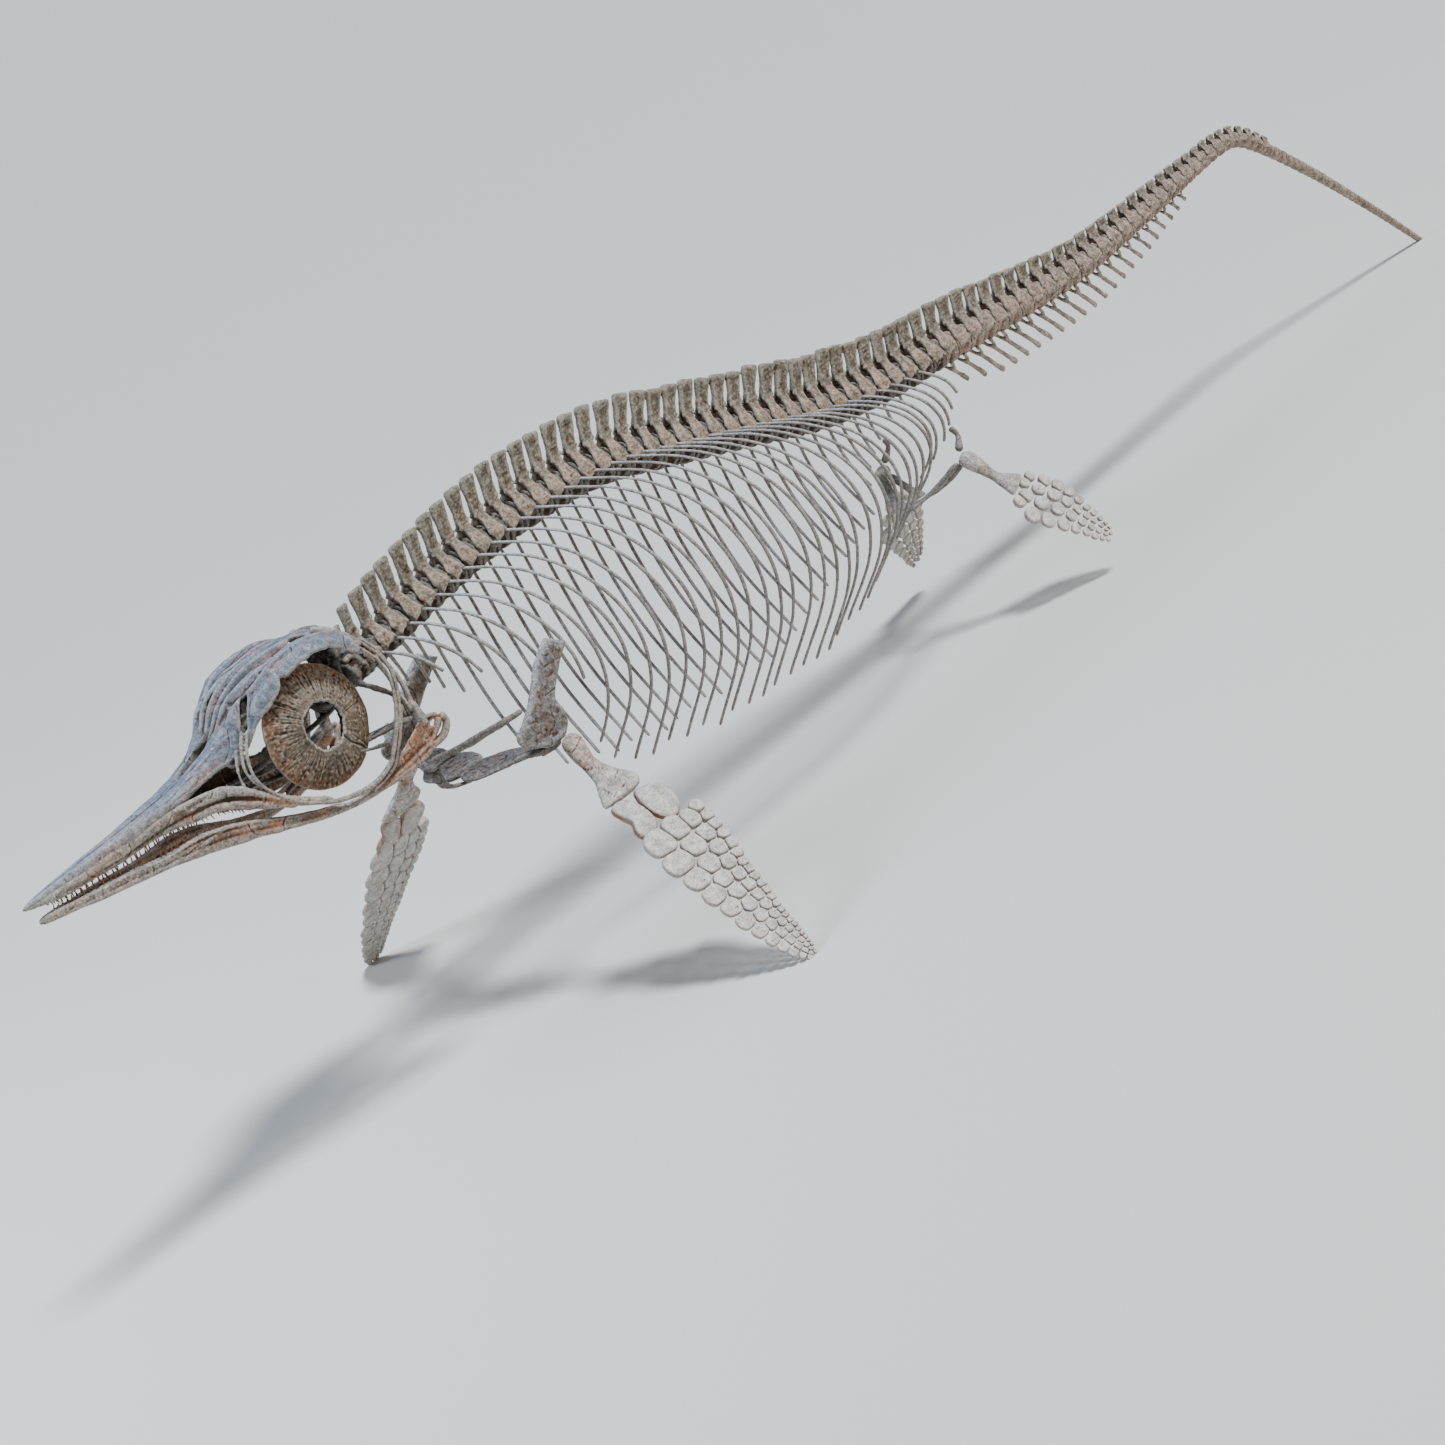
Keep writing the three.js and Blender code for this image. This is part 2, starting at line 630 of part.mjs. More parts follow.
// A flat bone: its outline as x, y, z points, thickened both ways by half its thickness.
function slab({ outline, halfThick }, side) {
  const shift = point(halfThick);
  const edge = outline.map(([x, y, z]) => point([x, side * y, z]));
  return solid(loft([-1, 1].map((sign) => edge.map((p) => p.clone().addScaledVector(shift, sign)))));
}

// The fore limbs.
const FOREARM_HALF_THICK = 10;
const FORE_LIMB = { joint: [-1136, 250, 451], tip: [-1168, 674, 0] };
const HUMERUS = [
  [-22.6, 6, 15, 12], [0, 4, 27, 21], [26, -3, 30, 21], [56, -8, 24, 16], [88, -3, 34, 15],
  [122, -2, 58, 14], [150, -18, 48, 13],
];
const RADIUS = [
  [150.6, -50], [150.6, -18], [172, -6], [212, -1], [238, -14], [241.5, -36], [238, -57], [219, -56],
  [200, -46], [180, -52],
];
const ULNA = [
  [150.6, 8], [150.6, 22], [158, 52], [180, 70], [208, 68], [232, 54], [241.5, 34], [234, 14],
  [208, 0.5], [176, 1],
];
const FORE_PADDLE = [
  [242, -62, 92, 8.5], [320, -64, 86, 8], [392, -60, 62, 7], [455, -58, 49, 6], [510, -54, 34, 5],
  [559, -44, 25, 4.5], [598, -30, 17, 4], [626, -8, 10, 3.5],
];
const SCAPULA = {
  halfThick: [0, 6, 0],
  outline: [
    [-1042, 198, 640], [-998, 198, 606], [-1050, 205, 572], [-1096, 213, 533], [-1090, 218, 505],
    [-1098, 221, 476], [-1128, 222, 462], [-1172, 221, 466], [-1212, 217, 488], [-1222, 213, 514],
    [-1182, 211, 536], [-1142, 208, 566], [-1096, 203, 608],
  ],
};
const CORACOID = {
  halfThick: [0, 0, 8],
  outline: [
    [-1228, 0.4, 450], [-1246, 40, 450], [-1240, 92, 452], [-1206, 132, 455], [-1186, 168, 458],
    [-1176, 214.4, 460], [-1122, 214.4, 458], [-1112, 168, 456], [-1128, 122, 452], [-1120, 72, 448],
    [-1132, 28, 446], [-1154, 0.4, 446],
  ],
};
const CLAVICLE = {
  course: [[-1284, 14, 514], [-1262, 60, 520], [-1238, 120, 532], [-1208, 180, 546], [-1172, 211, 552]],
  across: [5, 7, 6],
  upward: [8, 8, 6],
  steps: 5,
};
const INTERCLAVICLE_BAR = {
  course: [[-1258, -74, 513.4], [-1270, 0, 497], [-1258, 74, 513.4]],
  across: [8, 11, 8],
  upward: [4, 5, 4],
};
const INTERCLAVICLE_STEM = {
  course: [[-1270, 0, 497], [-1260, 0, 451], [-1200, 0, 426]],
  across: [16, 22, 6],
  upward: [5, 5, 4],
  up: [1, 0, 1],
};
for (const [side, name] of SIDES) {
  const place = limbFrame(FORE_LIMB, side);
  addBone(`scapula_${name}`, slab(SCAPULA, side), boneColours.girdle);
  addBone(`coracoid_${name}`, slab(CORACOID, side), boneColours.girdle);
  addBone(`clavicle_${name}`, bar(CLAVICLE, side), boneColours.girdle);
  addBone(`humerus_${name}`, shaft(HUMERUS, place), boneColours.limb);
  addBone(`radius_${name}`, pad(RADIUS, FOREARM_HALF_THICK, place), boneColours.limb);
  addBone(`ulna_${name}`, pad(ULNA, FOREARM_HALF_THICK, place), boneColours.limb);
  addBone(`fore_paddle_${name}`, blade(FORE_PADDLE, place).subtract(ground), boneColours.limb);
}
addBone("interclavicle", bar(INTERCLAVICLE_BAR).add(bar(INTERCLAVICLE_STEM)), boneColours.girdle);

// The hind limbs.
const HIND_LIMB = { joint: [225, 130, 354], tip: [370, 300, 65] };
const FEMUR = [
  [-15, 8, 13, 10], [8, 10, 23, 16], [40, 9, 22, 14], [74, 4, 17, 11], [104, 8, 30, 11], [130, 12, 34, 10],
];
const HIND_PADDLE = [
  [130.5, -26, 50, 8], [160, -62, 74, 8], [205, -56, 83, 7], [245, -42, 78, 6], [292, -28, 56, 5],
  [331, -20, 44, 4], [360, -8, 26, 3.5],
];
const ILIUM = {
  course: [[254, 101, 427.2], [262, 106, 404], [239, 115, 375]],
  across: [7, 6, 9],
  upward: [7, 6, 9],
  sides: 6,
  steps: 3,
};
const PUBIS = {
  course: [[217, 118, 359], [170, 60, 320], [130, 11, 302]],
  across: [10, 10, 22],
  upward: [7, 5, 5],
  steps: 3,
};
const ISCHIUM = {
  course: [[235, 113, 350], [222, 60, 316], [196, 8, 300]],
  across: [9, 9, 20],
  upward: [7, 5, 5],
  steps: 3,
};
for (const [side, name] of SIDES) {
  const place = limbFrame(HIND_LIMB, side);
  addBone(`ilium_${name}`, bar(ILIUM, side), boneColours.girdle);
  addBone(`pubis_${name}`, bar(PUBIS, side), boneColours.girdle);
  addBone(`ischium_${name}`, bar(ISCHIUM, side), boneColours.girdle);
  addBone(`femur_${name}`, shaft(FEMUR, place), boneColours.limb);
  addBone(`hind_paddle_${name}`, blade(HIND_PADDLE, place), boneColours.limb);
}

export default skeleton;
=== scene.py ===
"""The looks of an ichthyosaur skeleton: every bone, their finish, a pale floor and the light.

Shapes are worked out in millimetres as whole numpy arrays, and become metres when they turn
into a mesh. The head points to -X, the left side is at -Y, and +Z is up.
"""
import math

import bpy
import numpy as np
from mathutils import Matrix, Vector


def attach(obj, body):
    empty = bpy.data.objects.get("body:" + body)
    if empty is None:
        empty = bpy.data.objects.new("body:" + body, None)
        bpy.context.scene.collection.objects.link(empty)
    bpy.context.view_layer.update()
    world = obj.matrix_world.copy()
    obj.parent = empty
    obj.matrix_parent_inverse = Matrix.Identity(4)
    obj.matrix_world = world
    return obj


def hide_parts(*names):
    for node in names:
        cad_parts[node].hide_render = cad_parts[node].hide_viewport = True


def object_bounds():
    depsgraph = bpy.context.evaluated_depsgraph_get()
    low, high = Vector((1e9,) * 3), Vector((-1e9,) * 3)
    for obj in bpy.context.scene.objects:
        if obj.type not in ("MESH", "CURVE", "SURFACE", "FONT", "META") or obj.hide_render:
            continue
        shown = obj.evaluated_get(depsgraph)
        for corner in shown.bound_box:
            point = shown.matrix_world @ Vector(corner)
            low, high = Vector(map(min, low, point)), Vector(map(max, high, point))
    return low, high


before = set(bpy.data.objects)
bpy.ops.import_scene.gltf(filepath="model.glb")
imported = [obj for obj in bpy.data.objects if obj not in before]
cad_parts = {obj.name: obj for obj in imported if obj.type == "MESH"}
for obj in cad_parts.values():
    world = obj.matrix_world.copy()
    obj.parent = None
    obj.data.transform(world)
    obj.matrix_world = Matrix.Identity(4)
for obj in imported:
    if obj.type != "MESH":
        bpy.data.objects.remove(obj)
cad_low, cad_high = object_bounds()

bl_info = {
    "name": "Ichthyosaur Skeleton",
    "version": (1, 0, 0),
    "blender": (4, 5, 0),
    "location": "3D View > Sidebar > Skeleton",
    "description": "Builds the bones of an ichthyosaur skeleton around its solid frame",
    "category": "Add Mesh",
}

METRES_PER_MM = 0.001
LEFT, RIGHT = -1, 1
SIDES = ((LEFT, "left"), (RIGHT, "right"))
UP, SIDEWAYS, BACKWARDS = (0, 0, 1), (0, 1, 0), (1, 0, 0)

# The backbone: its route in the middle plane as x and z, and tables over the vertebra's number.
BACKBONE = (
    (-1360, 738), (-1273, 754), (-1065, 784), (-833, 803), (-597, 786), (-391, 728), (-182, 662),
    (20, 597), (252, 556), (463, 540), (707, 517), (927, 502), (1138, 508), (1401, 522),
    (1560, 527), (1640, 508), (1731, 438), (1873, 304), (2028, 142), (2160.6, -6),
)
BACKBONE_SAMPLES = 6000
FIRST_VERTEBRA_X = -1327
TAIL_END_SPARE = 14
PITCH = ((0, 42), (20, 45), (41, 47), (51, 46), (72, 30), (77, 26), (102, 22))
SPINE_HEIGHT = (
    (0, 92), (1, 113), (6, 126), (11, 131), (31, 130), (41, 108), (51, 70), (61, 48), (72, 24), (102, 10),
)
CENTRUM_RADIUS = (
    (0, 29), (4, 35), (12, 38), (24, 40), (36, 38), (45, 33), (55, 28), (65, 22), (73, 16), (84, 12),
    (102, 7),
)
RIB_WIDTH = (
    (1, 100), (2, 116), (3, 135), (5, 186), (6, 196), (9, 216), (13, 234), (19, 240), (25, 212), (29, 170),
    (33, 125), (35, 105), (37, 80),
)
RIB_DEPTH = (
    (1, 380), (5, 450), (9, 530), (13, 578), (17, 575), (21, 540), (25, 450), (29, 335), (32, 250), (35, 210),
    (37, 160),
)
RIB_SWEEP = ((1, 100), (7, 140), (13, 156), (25, 146), (31, 115), (35, 60), (37, 55))
RIB_REACH = (
    (1, 0.36), (2, 0.46), (3, 0.53), (4, 0.6), (5, 0.67), (6, 0.92), (7, 1), (31, 1), (33, 0.85), (35, 0.72),
    (37, 0.6),
)
RIB_SHAPE = ((0.45, 0.6, 0.08), (0.83, 0.92, 0.265), (1, 1.03, 0.5), (0.95, 0.86, 0.74), (0.74, 0.36, 1))
RIB_ROOT_OUT, RIB_ROOT_UP = 0.45, 0.2
RIB_RAISE_AT, RIB_RAISE = (0, 0.08, 0.2, 0.4), (0.12, 0.1, 0.05, 0.0)
RIB_THICKNESS_AT = (0, 0.03, 0.12, 0.35, 0.6, 0.9, 1)
RIB_THICKNESS = (1.15, 0.85, 0.7, 0.86, 1.06, 1.0, 1.05)
FIRST_RIB, LAST_RIB = 1, 37
CHEVRON_LENGTH = ((40, 80), (42, 118), (47, 112), (51, 98), (56, 72), (62, 26))
FIRST_CHEVRON, LAST_CHEVRON = 40, 61
SECTIONS = (
    ("backbone_and_ribs", (0, 4, 8, 12, 16, 20, 24, 28, 30, 32, 36, 40)),
    ("tail_vertebrae", (40, 45, 50, 55, 60, 66, 73)),
    ("fluke_vertebrae", (73, 86, 98)),
)
FLUKE_START = 73


def length_value(name, description, default):
    """A length in metres that a user can change."""
    return bpy.props.FloatProperty(name=name, description=description, default=default, unit="LENGTH")


def colour_value(name, description, default):
    """A colour that a user can change."""
    return bpy.props.FloatVectorProperty(
        name=name, description=description, default=default, size=3, subtype="COLOR")


class SkeletonSizes(bpy.types.PropertyGroup):
    """Sizes that a user would change, in metres."""

    rib_radius: length_value("Rib radius", "Half the thickness of a rib near its head", 0.0044)
    rib_tip_radius: length_value("Rib tip radius", "Half the thickness of a rib at its end", 0.0033)
    vertebra_grain: length_value("Vertebra grain", "Distance between the points of a vertebra", 0.0027)
    skull_grain: length_value("Skull grain", "Distance between the points of the skull", 0.0024)
    tooth_length: length_value("Tooth length", "Length of the longest teeth out of the jaw", 0.0175)
    tooth_count: bpy.props.IntProperty(
        name="Teeth", description="Teeth on each side of each jaw", default=31, min=4)
    bone_gap: length_value("Paddle bone gap", "Gap between the bones of a fore paddle", 0.0016)
    camera_lens: bpy.props.FloatProperty(
        name="Lens", description="Focal length of the camera in millimetres", default=85.0)


class SkeletonColours(bpy.types.PropertyGroup):
    """Colours that a user would change."""

    vertebra: colour_value("Vertebrae", "Bone of the backbone", (0.168, 0.152, 0.116))
    rib: colour_value("Ribs", "Bone of the ribs", (0.20, 0.18, 0.162))
    skull: colour_value("Skull", "Bone of the skull's roof and snout", (0.19, 0.195, 0.207))
    jaw: colour_value("Jaws", "Bone of the upper and lower jaw", (0.265, 0.248, 0.215))
    # Painted shade, mixed into the creases of every bone.
    shade_in_creases: colour_value("Creases", "Painted shade deep in the creases", (0.055, 0.026, 0.014))
    # Rust; the same colour is also painted warm light beside the creases and in warm patches on the skull.
    rust_and_warm_light: colour_value("Rust And Warm Light", "Rust, and painted warm light beside the creases", (0.33, 0.155, 0.08))
    ring: colour_value("Eye rings", "Bone of the rings in the eyes", (0.25, 0.218, 0.172))
    # Dark as painted shade: the girdles lie under the trunk, in its shadow.
    girdle: colour_value("Girdles", "Bone of the shoulder and hip", (0.11, 0.09, 0.072))
    limb: colour_value("Limbs", "Bone of the paddles", (0.54, 0.525, 0.49))
    tooth: colour_value("Teeth", "Enamel of the teeth", (0.26, 0.11, 0.05))
    floor: colour_value("Floor", "Floor under the skeleton", (0.66, 0.655, 0.64))


def sizes():
    """The sizes that the panel shows."""
    return bpy.context.scene.skeleton_sizes


def colours():
    """The colours that the panel shows."""
    return bpy.context.scene.skeleton_colours


# Arrays and curves

def read(table, at):
    """A straight-line reading of a table of (number, value) pairs."""
    table = np.asarray(table, float)
    return np.interp(at, table[:, 0], table[:, 1])


def spread(values, share):
    """Values set evenly over the shares 0 to 1, read in straight lines."""
    values = np.asarray(values, float)
    return np.interp(share, np.linspace(0, 1, len(values)), values)


def unit(vectors):
    """Vectors divided by their length."""
    length = np.linalg.norm(vectors, axis=-1, keepdims=True)
    return vectors / np.maximum(length, 1e-12)


def smooth_curve(points, share):
    """Catmull-Rom: a cubic through every point, its slope at each half the step between the neighbours."""
    points = np.asarray(points, float)
    before, after = 2 * points[0] - points[1], 2 * points[-1] - points[-2]
    padded = np.vstack([before, points, after])
    place = np.clip(share, 0, 1) * (len(points) - 1)
    k = np.minimum(place.astype(int), len(points) - 2)
    w = (place - k)[..., None]
    a, b, c, d = padded[k], padded[k + 1], padded[k + 2], padded[k + 3]
    return 0.5 * (2 * b + (c - a) * w + (2 * a - 5 * b + 4 * c - d) * w**2 + (3 * b - a - 3 * c + d) * w**3)


def smooth_read(table, at):
    """A table of stations, read by a Catmull-Rom curve over its first column."""
    table = np.asarray(table, float)
    share = np.interp(at, table[:, 0], np.linspace(0, 1, len(table)))
    return smooth_curve(table[:, 1:], share)


def closed_curve(points, count):
    """A Catmull-Rom curve that comes back to its first point, at evenly spaced shares."""
    points = np.asarray(points, float)
    share = np.arange(count) / count * len(points)
    k = share.astype(int)
    w = (share - k)[:, None]
    a, b, c, d = (points[(k + step) % len(points)] for step in (-1, 0, 1, 2))
    return 0.5 * (2 * b + (c - a) * w + (2 * a - 5 * b + 4 * c - d) * w**2 + (3 * b - a - 3 * c + d) * w**3)


def bell(values, middle, width):
    """A bell curve: 1 in its middle and 1/e a width away."""
    return np.exp(-(((values - middle) / width) ** 2))


def circle_angles(count, first=0.0):
    """The angles of `count` points round a circle, turned on by `first` of their step."""
    return 2 * np.pi * (np.arange(count) + first) / count


def boxed_circle(angle, power):
    """Cosine and sine raised to a power under 1, with their signs: a circle that nears a square."""
    cosine, sine = np.cos(angle), np.sin(angle)
    return np.sign(cosine) * np.abs(cosine) ** power, np.sign(sine) * np.abs(sine) ** power


def eased_shares(steps):
    """Shares from 0 to 1 that lie closer together towards both ends: half even, half a cosine."""
    even = np.linspace(0, 1, steps + 1)
    return 0.5 * even + 0.25 * (1 - np.cos(np.pi * even))


# Noise that is the same each run

# Large odd numbers that scatter the lattice's places, one for each axis and one for the seed.
SCATTER_X, SCATTER_Y, SCATTER_Z, SCATTER_SEED = 374761393, 668265263, 1440662683, 1274126177
SCATTER_AGAIN = 1103515245
LOW_32_BITS = 0xFFFFFFFF
HALF_OF_32_BITS = 2147483647.5


def lattice(x, y, z, seed):
    """A fixed value from -1 to 1 for every whole-number place, from products and shifts of its numbers."""
    mixed = (x * SCATTER_X + y * SCATTER_Y + z * SCATTER_Z + seed * SCATTER_SEED) & LOW_32_BITS
    mixed = ((mixed ^ (mixed >> 13)) * SCATTER_AGAIN) & LOW_32_BITS
    mixed = mixed ^ (mixed >> 16)
    return mixed / HALF_OF_32_BITS - 1


def bumps(points, size, seed):
    """Smooth random hills about `size` apart, from -1 to 1. A size of three numbers stretches them."""
    place = points / np.asarray(size, float)
    corner = np.floor(place).astype(np.int64)
    w = place - corner
    w = w * w * (3 - 2 * w)
    total = np.zeros(len(points))
    for step in np.ndindex(2, 2, 2):
        x_share, y_share, z_share = (w[:, k] if step[k] else 1 - w[:, k] for k in range(3))
        total += x_share * y_share * z_share * lattice(*(corner + step).T, seed)
    return total


def folds(points, size, seed):
    """Sharp ridges where the hills of `bumps` cross their middle level, from -1 to 1."""
    return 1 - 3 * np.abs(bumps(points, size, seed))


def cracks(points, size, width, seed):
    """Thin winding lines, 1 in a line and 0 away from it: a bell curve of the hills' height."""
    return bell(bumps(points, size, seed), 0, width)


# Shells: every shell is (vertices in mm, faces as rows of 4 or 3 numbers)

def outward(vertices, faces):
    """Turns the faces round if the volume they enclose comes out negative."""
    corner = vertices[faces]
    volume = np.einsum("ij,ij->", corner[:, 0], np.cross(corner[:, 1], corner[:, 2]))
    if faces.shape[1] == 4:
        volume += np.einsum("ij,ij->", corner[:, 0], np.cross(corner[:, 2], corner[:, 3]))
    return vertices, (faces if volume > 0 else faces[:, ::-1])


def closed_tubes(rings):
    """Skins over rings of an even number of points, given as (tube, ring, point, 3) or (ring, point, 3).
    Each end is closed by a ladder of quads from one half of its ring to the other."""
    rings = rings if rings.ndim == 4 else rings[None]
    count, n, m = rings.shape[:3]
    index = np.arange(n * m).reshape(n, m)
    turned = np.roll(index, -1, axis=1)
    walls = np.stack([index[:-1], turned[:-1], turned[1:], index[1:]], axis=-1).reshape(-1, 4)
    k = np.arange(m // 2 - 1)
    ladder = np.stack([k, k + 1, m - 2 - k, m - 1 - k], axis=-1)
    quads = np.vstack([walls, index[0][ladder[:, ::-1]], index[-1][ladder]])
    every = (quads[None] + (np.arange(count) * n * m)[:, None, None]).reshape(-1, 4)
    return outward(rings.reshape(-1, 3), every)


def closed_loop(rings):
    """A skin over rings that come back to the first one, as on a doughnut."""
    n, m = rings.shape[:2]
    index = np.arange(n * m).reshape(n, m)
    turned = np.roll(index, -1, axis=1)
    after = np.roll(index, -1, axis=0)
    quads = np.stack([index, turned, np.roll(turned, -1, axis=0), after], axis=-1).reshape(-1, 4)
    return outward(rings.reshape(-1, 3), quads)


def end_rounding(share, reach):
    """A quarter circle at both ends of 0 to 1, so that a bar's ends are domed."""
    near = np.clip(np.minimum(share, 1 - share) / reach, 0, 1)
    return np.maximum(np.sqrt(1 - (1 - near) ** 2), 0.12)


def bar_rings(course, across, upward, sides=20, steps=40, up=UP, reach=0.06, boxy=1.0):
    """An oval carried along a smooth curve: half sizes `across` and along `up` run over their lists,
    powers of sine and cosine under 1 make it boxy, and both ends are domed."""
    share = eased_shares(steps)
    centre = smooth_curve(course, share)
    along = unit(np.gradient(centre, axis=0))
    right = unit(np.cross(along, np.asarray(up, float)))
    above = np.cross(right, along)
    cosine, sine = boxed_circle(circle_angles(sides, 0.5), boxy)
    dome = end_rounding(share, reach)
    wide, high = spread(across, share) * dome, spread(upward, share) * dome
    return (centre[:, None] + right[:, None] * (wide[:, None] * cosine)[..., None]
            + above[:, None] * (high[:, None] * sine)[..., None])


def mirrored(rings, side):
    """Points of the right side as they are, or turned over to the left."""
    return rings * np.array([1, side, 1.0])


def bar(course, across, upward, side=RIGHT, **more):
    """A closed bar on one side."""
    return closed_tubes(mirrored(bar_rings(course, across, upward, **more), side))


def pair(course, across, upward, **more):
    """The same bar on both sides."""
    return [bar(course, across, upward, side, **more) for side in (LEFT, RIGHT)]


def sheet_rings(outer, inner):
    """Rings of a bent sheet: out along its outer points and back along its inner ones."""
    return np.concatenate([outer, inner[:, ::-1]], axis=1)


def between_edges(front, back, half_thick, normal, steps=60, across=26, reach=0.05):
    """A flat bone between two edges: straight from edge to edge, its thickness a flattened dome that
    falls to nothing at the edges and ends."""
    share = eased_shares(steps)
    first, second = smooth_curve(front, share), smooth_curve(back, share)
    s = 0.5 - 0.5 * np.cos(np.pi * np.linspace(0, 1, across))
    middle = first[:, None] * (1 - s)[None, :, None] + second[:, None] * s[None, :, None]
    dome = np.maximum(1 - np.abs(2 * s - 1) ** 5, 0.04) ** 0.5
    lift = spread(half_thick, share)[:, None] * dome[None] * end_rounding(share, reach)[:, None]
    shift = lift[..., None] * unit(np.asarray(normal, float))
    return sheet_rings(middle + shift, middle - shift)


# Fused and roughened surfaces

def blender_mesh(name, shells, scale):
    """Joins shells into one mesh, by foreach_set of the points, the corners and the faces."""
    vertices = np.vstack([v for v, _ in shells]) * scale
    offset, corners, starts = 0, [], []
    corner_count = 0
    for v, faces in shells:
        corners.append((faces + offset).ravel())
        starts.append(corner_count + np.arange(len(faces)) * faces.shape[1])
        offset += len(v)
        corner_count += faces.size
    corners, starts = np.concatenate(corners), np.concatenate(starts)
    mesh = bpy.data.meshes.new(name)
    mesh.vertices.add(len(vertices))
    mesh.vertices.foreach_set("co", vertices.astype(np.float32).ravel())
    mesh.loops.add(len(corners))
    mesh.loops.foreach_set("vertex_index", corners.astype(np.int32))
    mesh.polygons.add(len(starts))
    mesh.polygons.foreach_set("loop_start", starts.astype(np.int32))
    mesh.update(calc_edges=True)
    mesh.validate()
    return mesh


def new_object(name, data):
    """An object in the scene's own collection."""
    thing = bpy.data.objects.new(name, data)
    bpy.context.scene.collection.objects.link(thing)
    return thing


def evaluated_shell(thing):
    """The points and faces of an object with its modifiers, as a shell of quads or triangles."""
    evaluated = thing.evaluated_get(bpy.context.evaluated_depsgraph_get())
    done = evaluated.to_mesh()
    vertices = np.zeros(len(done.vertices) * 3)
    done.vertices.foreach_get("co", vertices)
    sides = np.zeros(len(done.polygons), int)
    done.polygons.foreach_get("loop_total", sides)
    if np.all(sides == 4):
        faces = np.zeros(len(done.loops), int)
        done.loops.foreach_get("vertex_index", faces)
        faces = faces.reshape(-1, 4)
    else:
        done.calc_loop_triangles()
        faces = np.zeros(len(done.loop_triangles) * 3, int)
        done.loop_triangles.foreach_get("vertices", faces)
        faces = faces.reshape(-1, 3)
    evaluated.to_mesh_clear()
    return vertices.reshape(-1, 3), faces


def discard(*things):
    """Deletes scratch objects and their meshes."""
    for thing in things:
        mesh = thing.data
        bpy.data.objects.remove(thing)
        bpy.data.meshes.remove(mesh)


def fused(shells, grain):
    """One skin round all the shells: a Remesh modifier in voxel mode, `grain` mm wide."""
    thing = new_object("fusing", blender_mesh("fusing", shells, 1.0))
    modifier = thing.modifiers.new("voxels", "REMESH")
    modifier.mode = "VOXEL"
    modifier.voxel_size = grain
    shell = evaluated_shell(thing)
    discard(thing)
    return shell


def cut_away(shell, cutters):
    """The shell less the cutters, by Boolean modifiers."""
    thing = new_object("cutting", blender_mesh("cutting", [shell], 1.0))
    tools = []
    for cutter in cutters:
        tool = new_object("cutter", blender_mesh("cutter", [cutter], 1.0))
        modifier = thing.modifiers.new("cut", "BOOLEAN")
        modifier.operation = "DIFFERENCE"
        modifier.solver = "EXACT"
        modifier.object = tool
        tools.append(tool)
    result = evaluated_shell(thing)
    discard(thing, *tools)
    return result


def neighbour_mean(values, faces):
    """For every point the mean of `values` over the points that an edge joins to it."""
    a, b = faces.ravel(), np.roll(faces, -1, axis=1).ravel()
    count = np.bincount(a, minlength=len(values)) + np.bincount(b, minlength=len(values))
    total = np.stack([
        np.bincount(a, weights=values[b, k], minlength=len(values))
        + np.bincount(b, weights=values[a, k], minlength=len(values)) for k in range(values.shape[1])
    ], axis=1)
    return total / np.maximum(count, 1)[:, None]


def relaxed(vertices, faces, rounds, weight=0.5):
    """Points moved towards the mean of their neighbours, round after round."""
    for _ in range(rounds):
        vertices = vertices + weight * (neighbour_mean(vertices, faces) - vertices)
    return vertices


def normals_of(vertices, faces):
    """Point normals: the sum of the faces' cross products around each point, made unit."""
    corner = vertices[faces]
    if faces.shape[1] == 4:
        face_normal = np.cross(corner[:, 2] - corner[:, 0], corner[:, 3] - corner[:, 1])
    else:
        face_normal = np.cross(corner[:, 1] - corner[:, 0], corner[:, 2] - corner[:, 0])
    spots = faces.ravel()
    repeated = np.repeat(face_normal, faces.shape[1], axis=0)
    total = [np.bincount(spots, weights=repeated[:, k], minlength=len(vertices)) for k in range(3)]
    return unit(np.stack(total, axis=1))


def hollow_of(vertices, faces):
    """How far each point lies in a hollow, from -1 on an edge to 1 in a crease: the way to the
    average of its surroundings, along the normal, near and further off."""
    normal = normals_of(vertices, faces)
    near = relaxed(vertices, faces, 3, 0.7)
    far = relaxed(near, faces, 14, 0.9)
    fine = np.einsum("ij,ij->i", near - vertices, normal) / 0.35
    broad = np.einsum("ij,ij->i", far - vertices, normal) / 1.6
    return np.clip(0.55 * fine + 0.75 * broad, -1, 1)


def roughened(shell, depth, smoothing=2):
    """Moves each point of a shell along its normal by depth(points, normals) in mm, after some smoothing."""
    vertices, faces = shell
    vertices = relaxed(vertices, faces, smoothing)
    normal = normals_of(vertices, faces)
    return vertices + normal * depth(vertices, normal)[:, None], faces


def add_piece(name, shells, material, nodes=(), hollow=True, warm=None):
    """One visible piece that rides on the frame's body and stands for its CAD nodes. It gets three
    attributes for its material: `hollow` from the shape, which the material turns into painted shade in
    creases and painted highlights on edges, `upward` from its normals, which it turns into a painted
    cool top light, and `warm`, a share of the colour that is partly rust and partly painted warm light,
    from a function of its points."""
    mesh = blender_mesh(name, shells, METRES_PER_MM)
    piece = new_object(name, mesh)
    mesh.materials.append(material)
    mesh.polygons.foreach_set("use_smooth", np.ones(len(mesh.polygons), bool))
    values = [hollow_of(v, f) if hollow else np.zeros(len(v)) for v, f in shells]
    lifts = [normals_of(v, f)[:, 2] for v, f in shells]
    warmth = [np.clip(warm(v), 0, 1) if warm else np.zeros(len(v)) for v, _ in shells]
    for label, parts in (("hollow", values), ("upward", lifts), ("warm", warmth)):
        attribute = mesh.attributes.new(label, "FLOAT", "POINT")
        attribute.data.foreach_set("value", np.concatenate(parts).astype(np.float32))
    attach(piece, "root")
    if nodes:
        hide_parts(*nodes)


# Materials

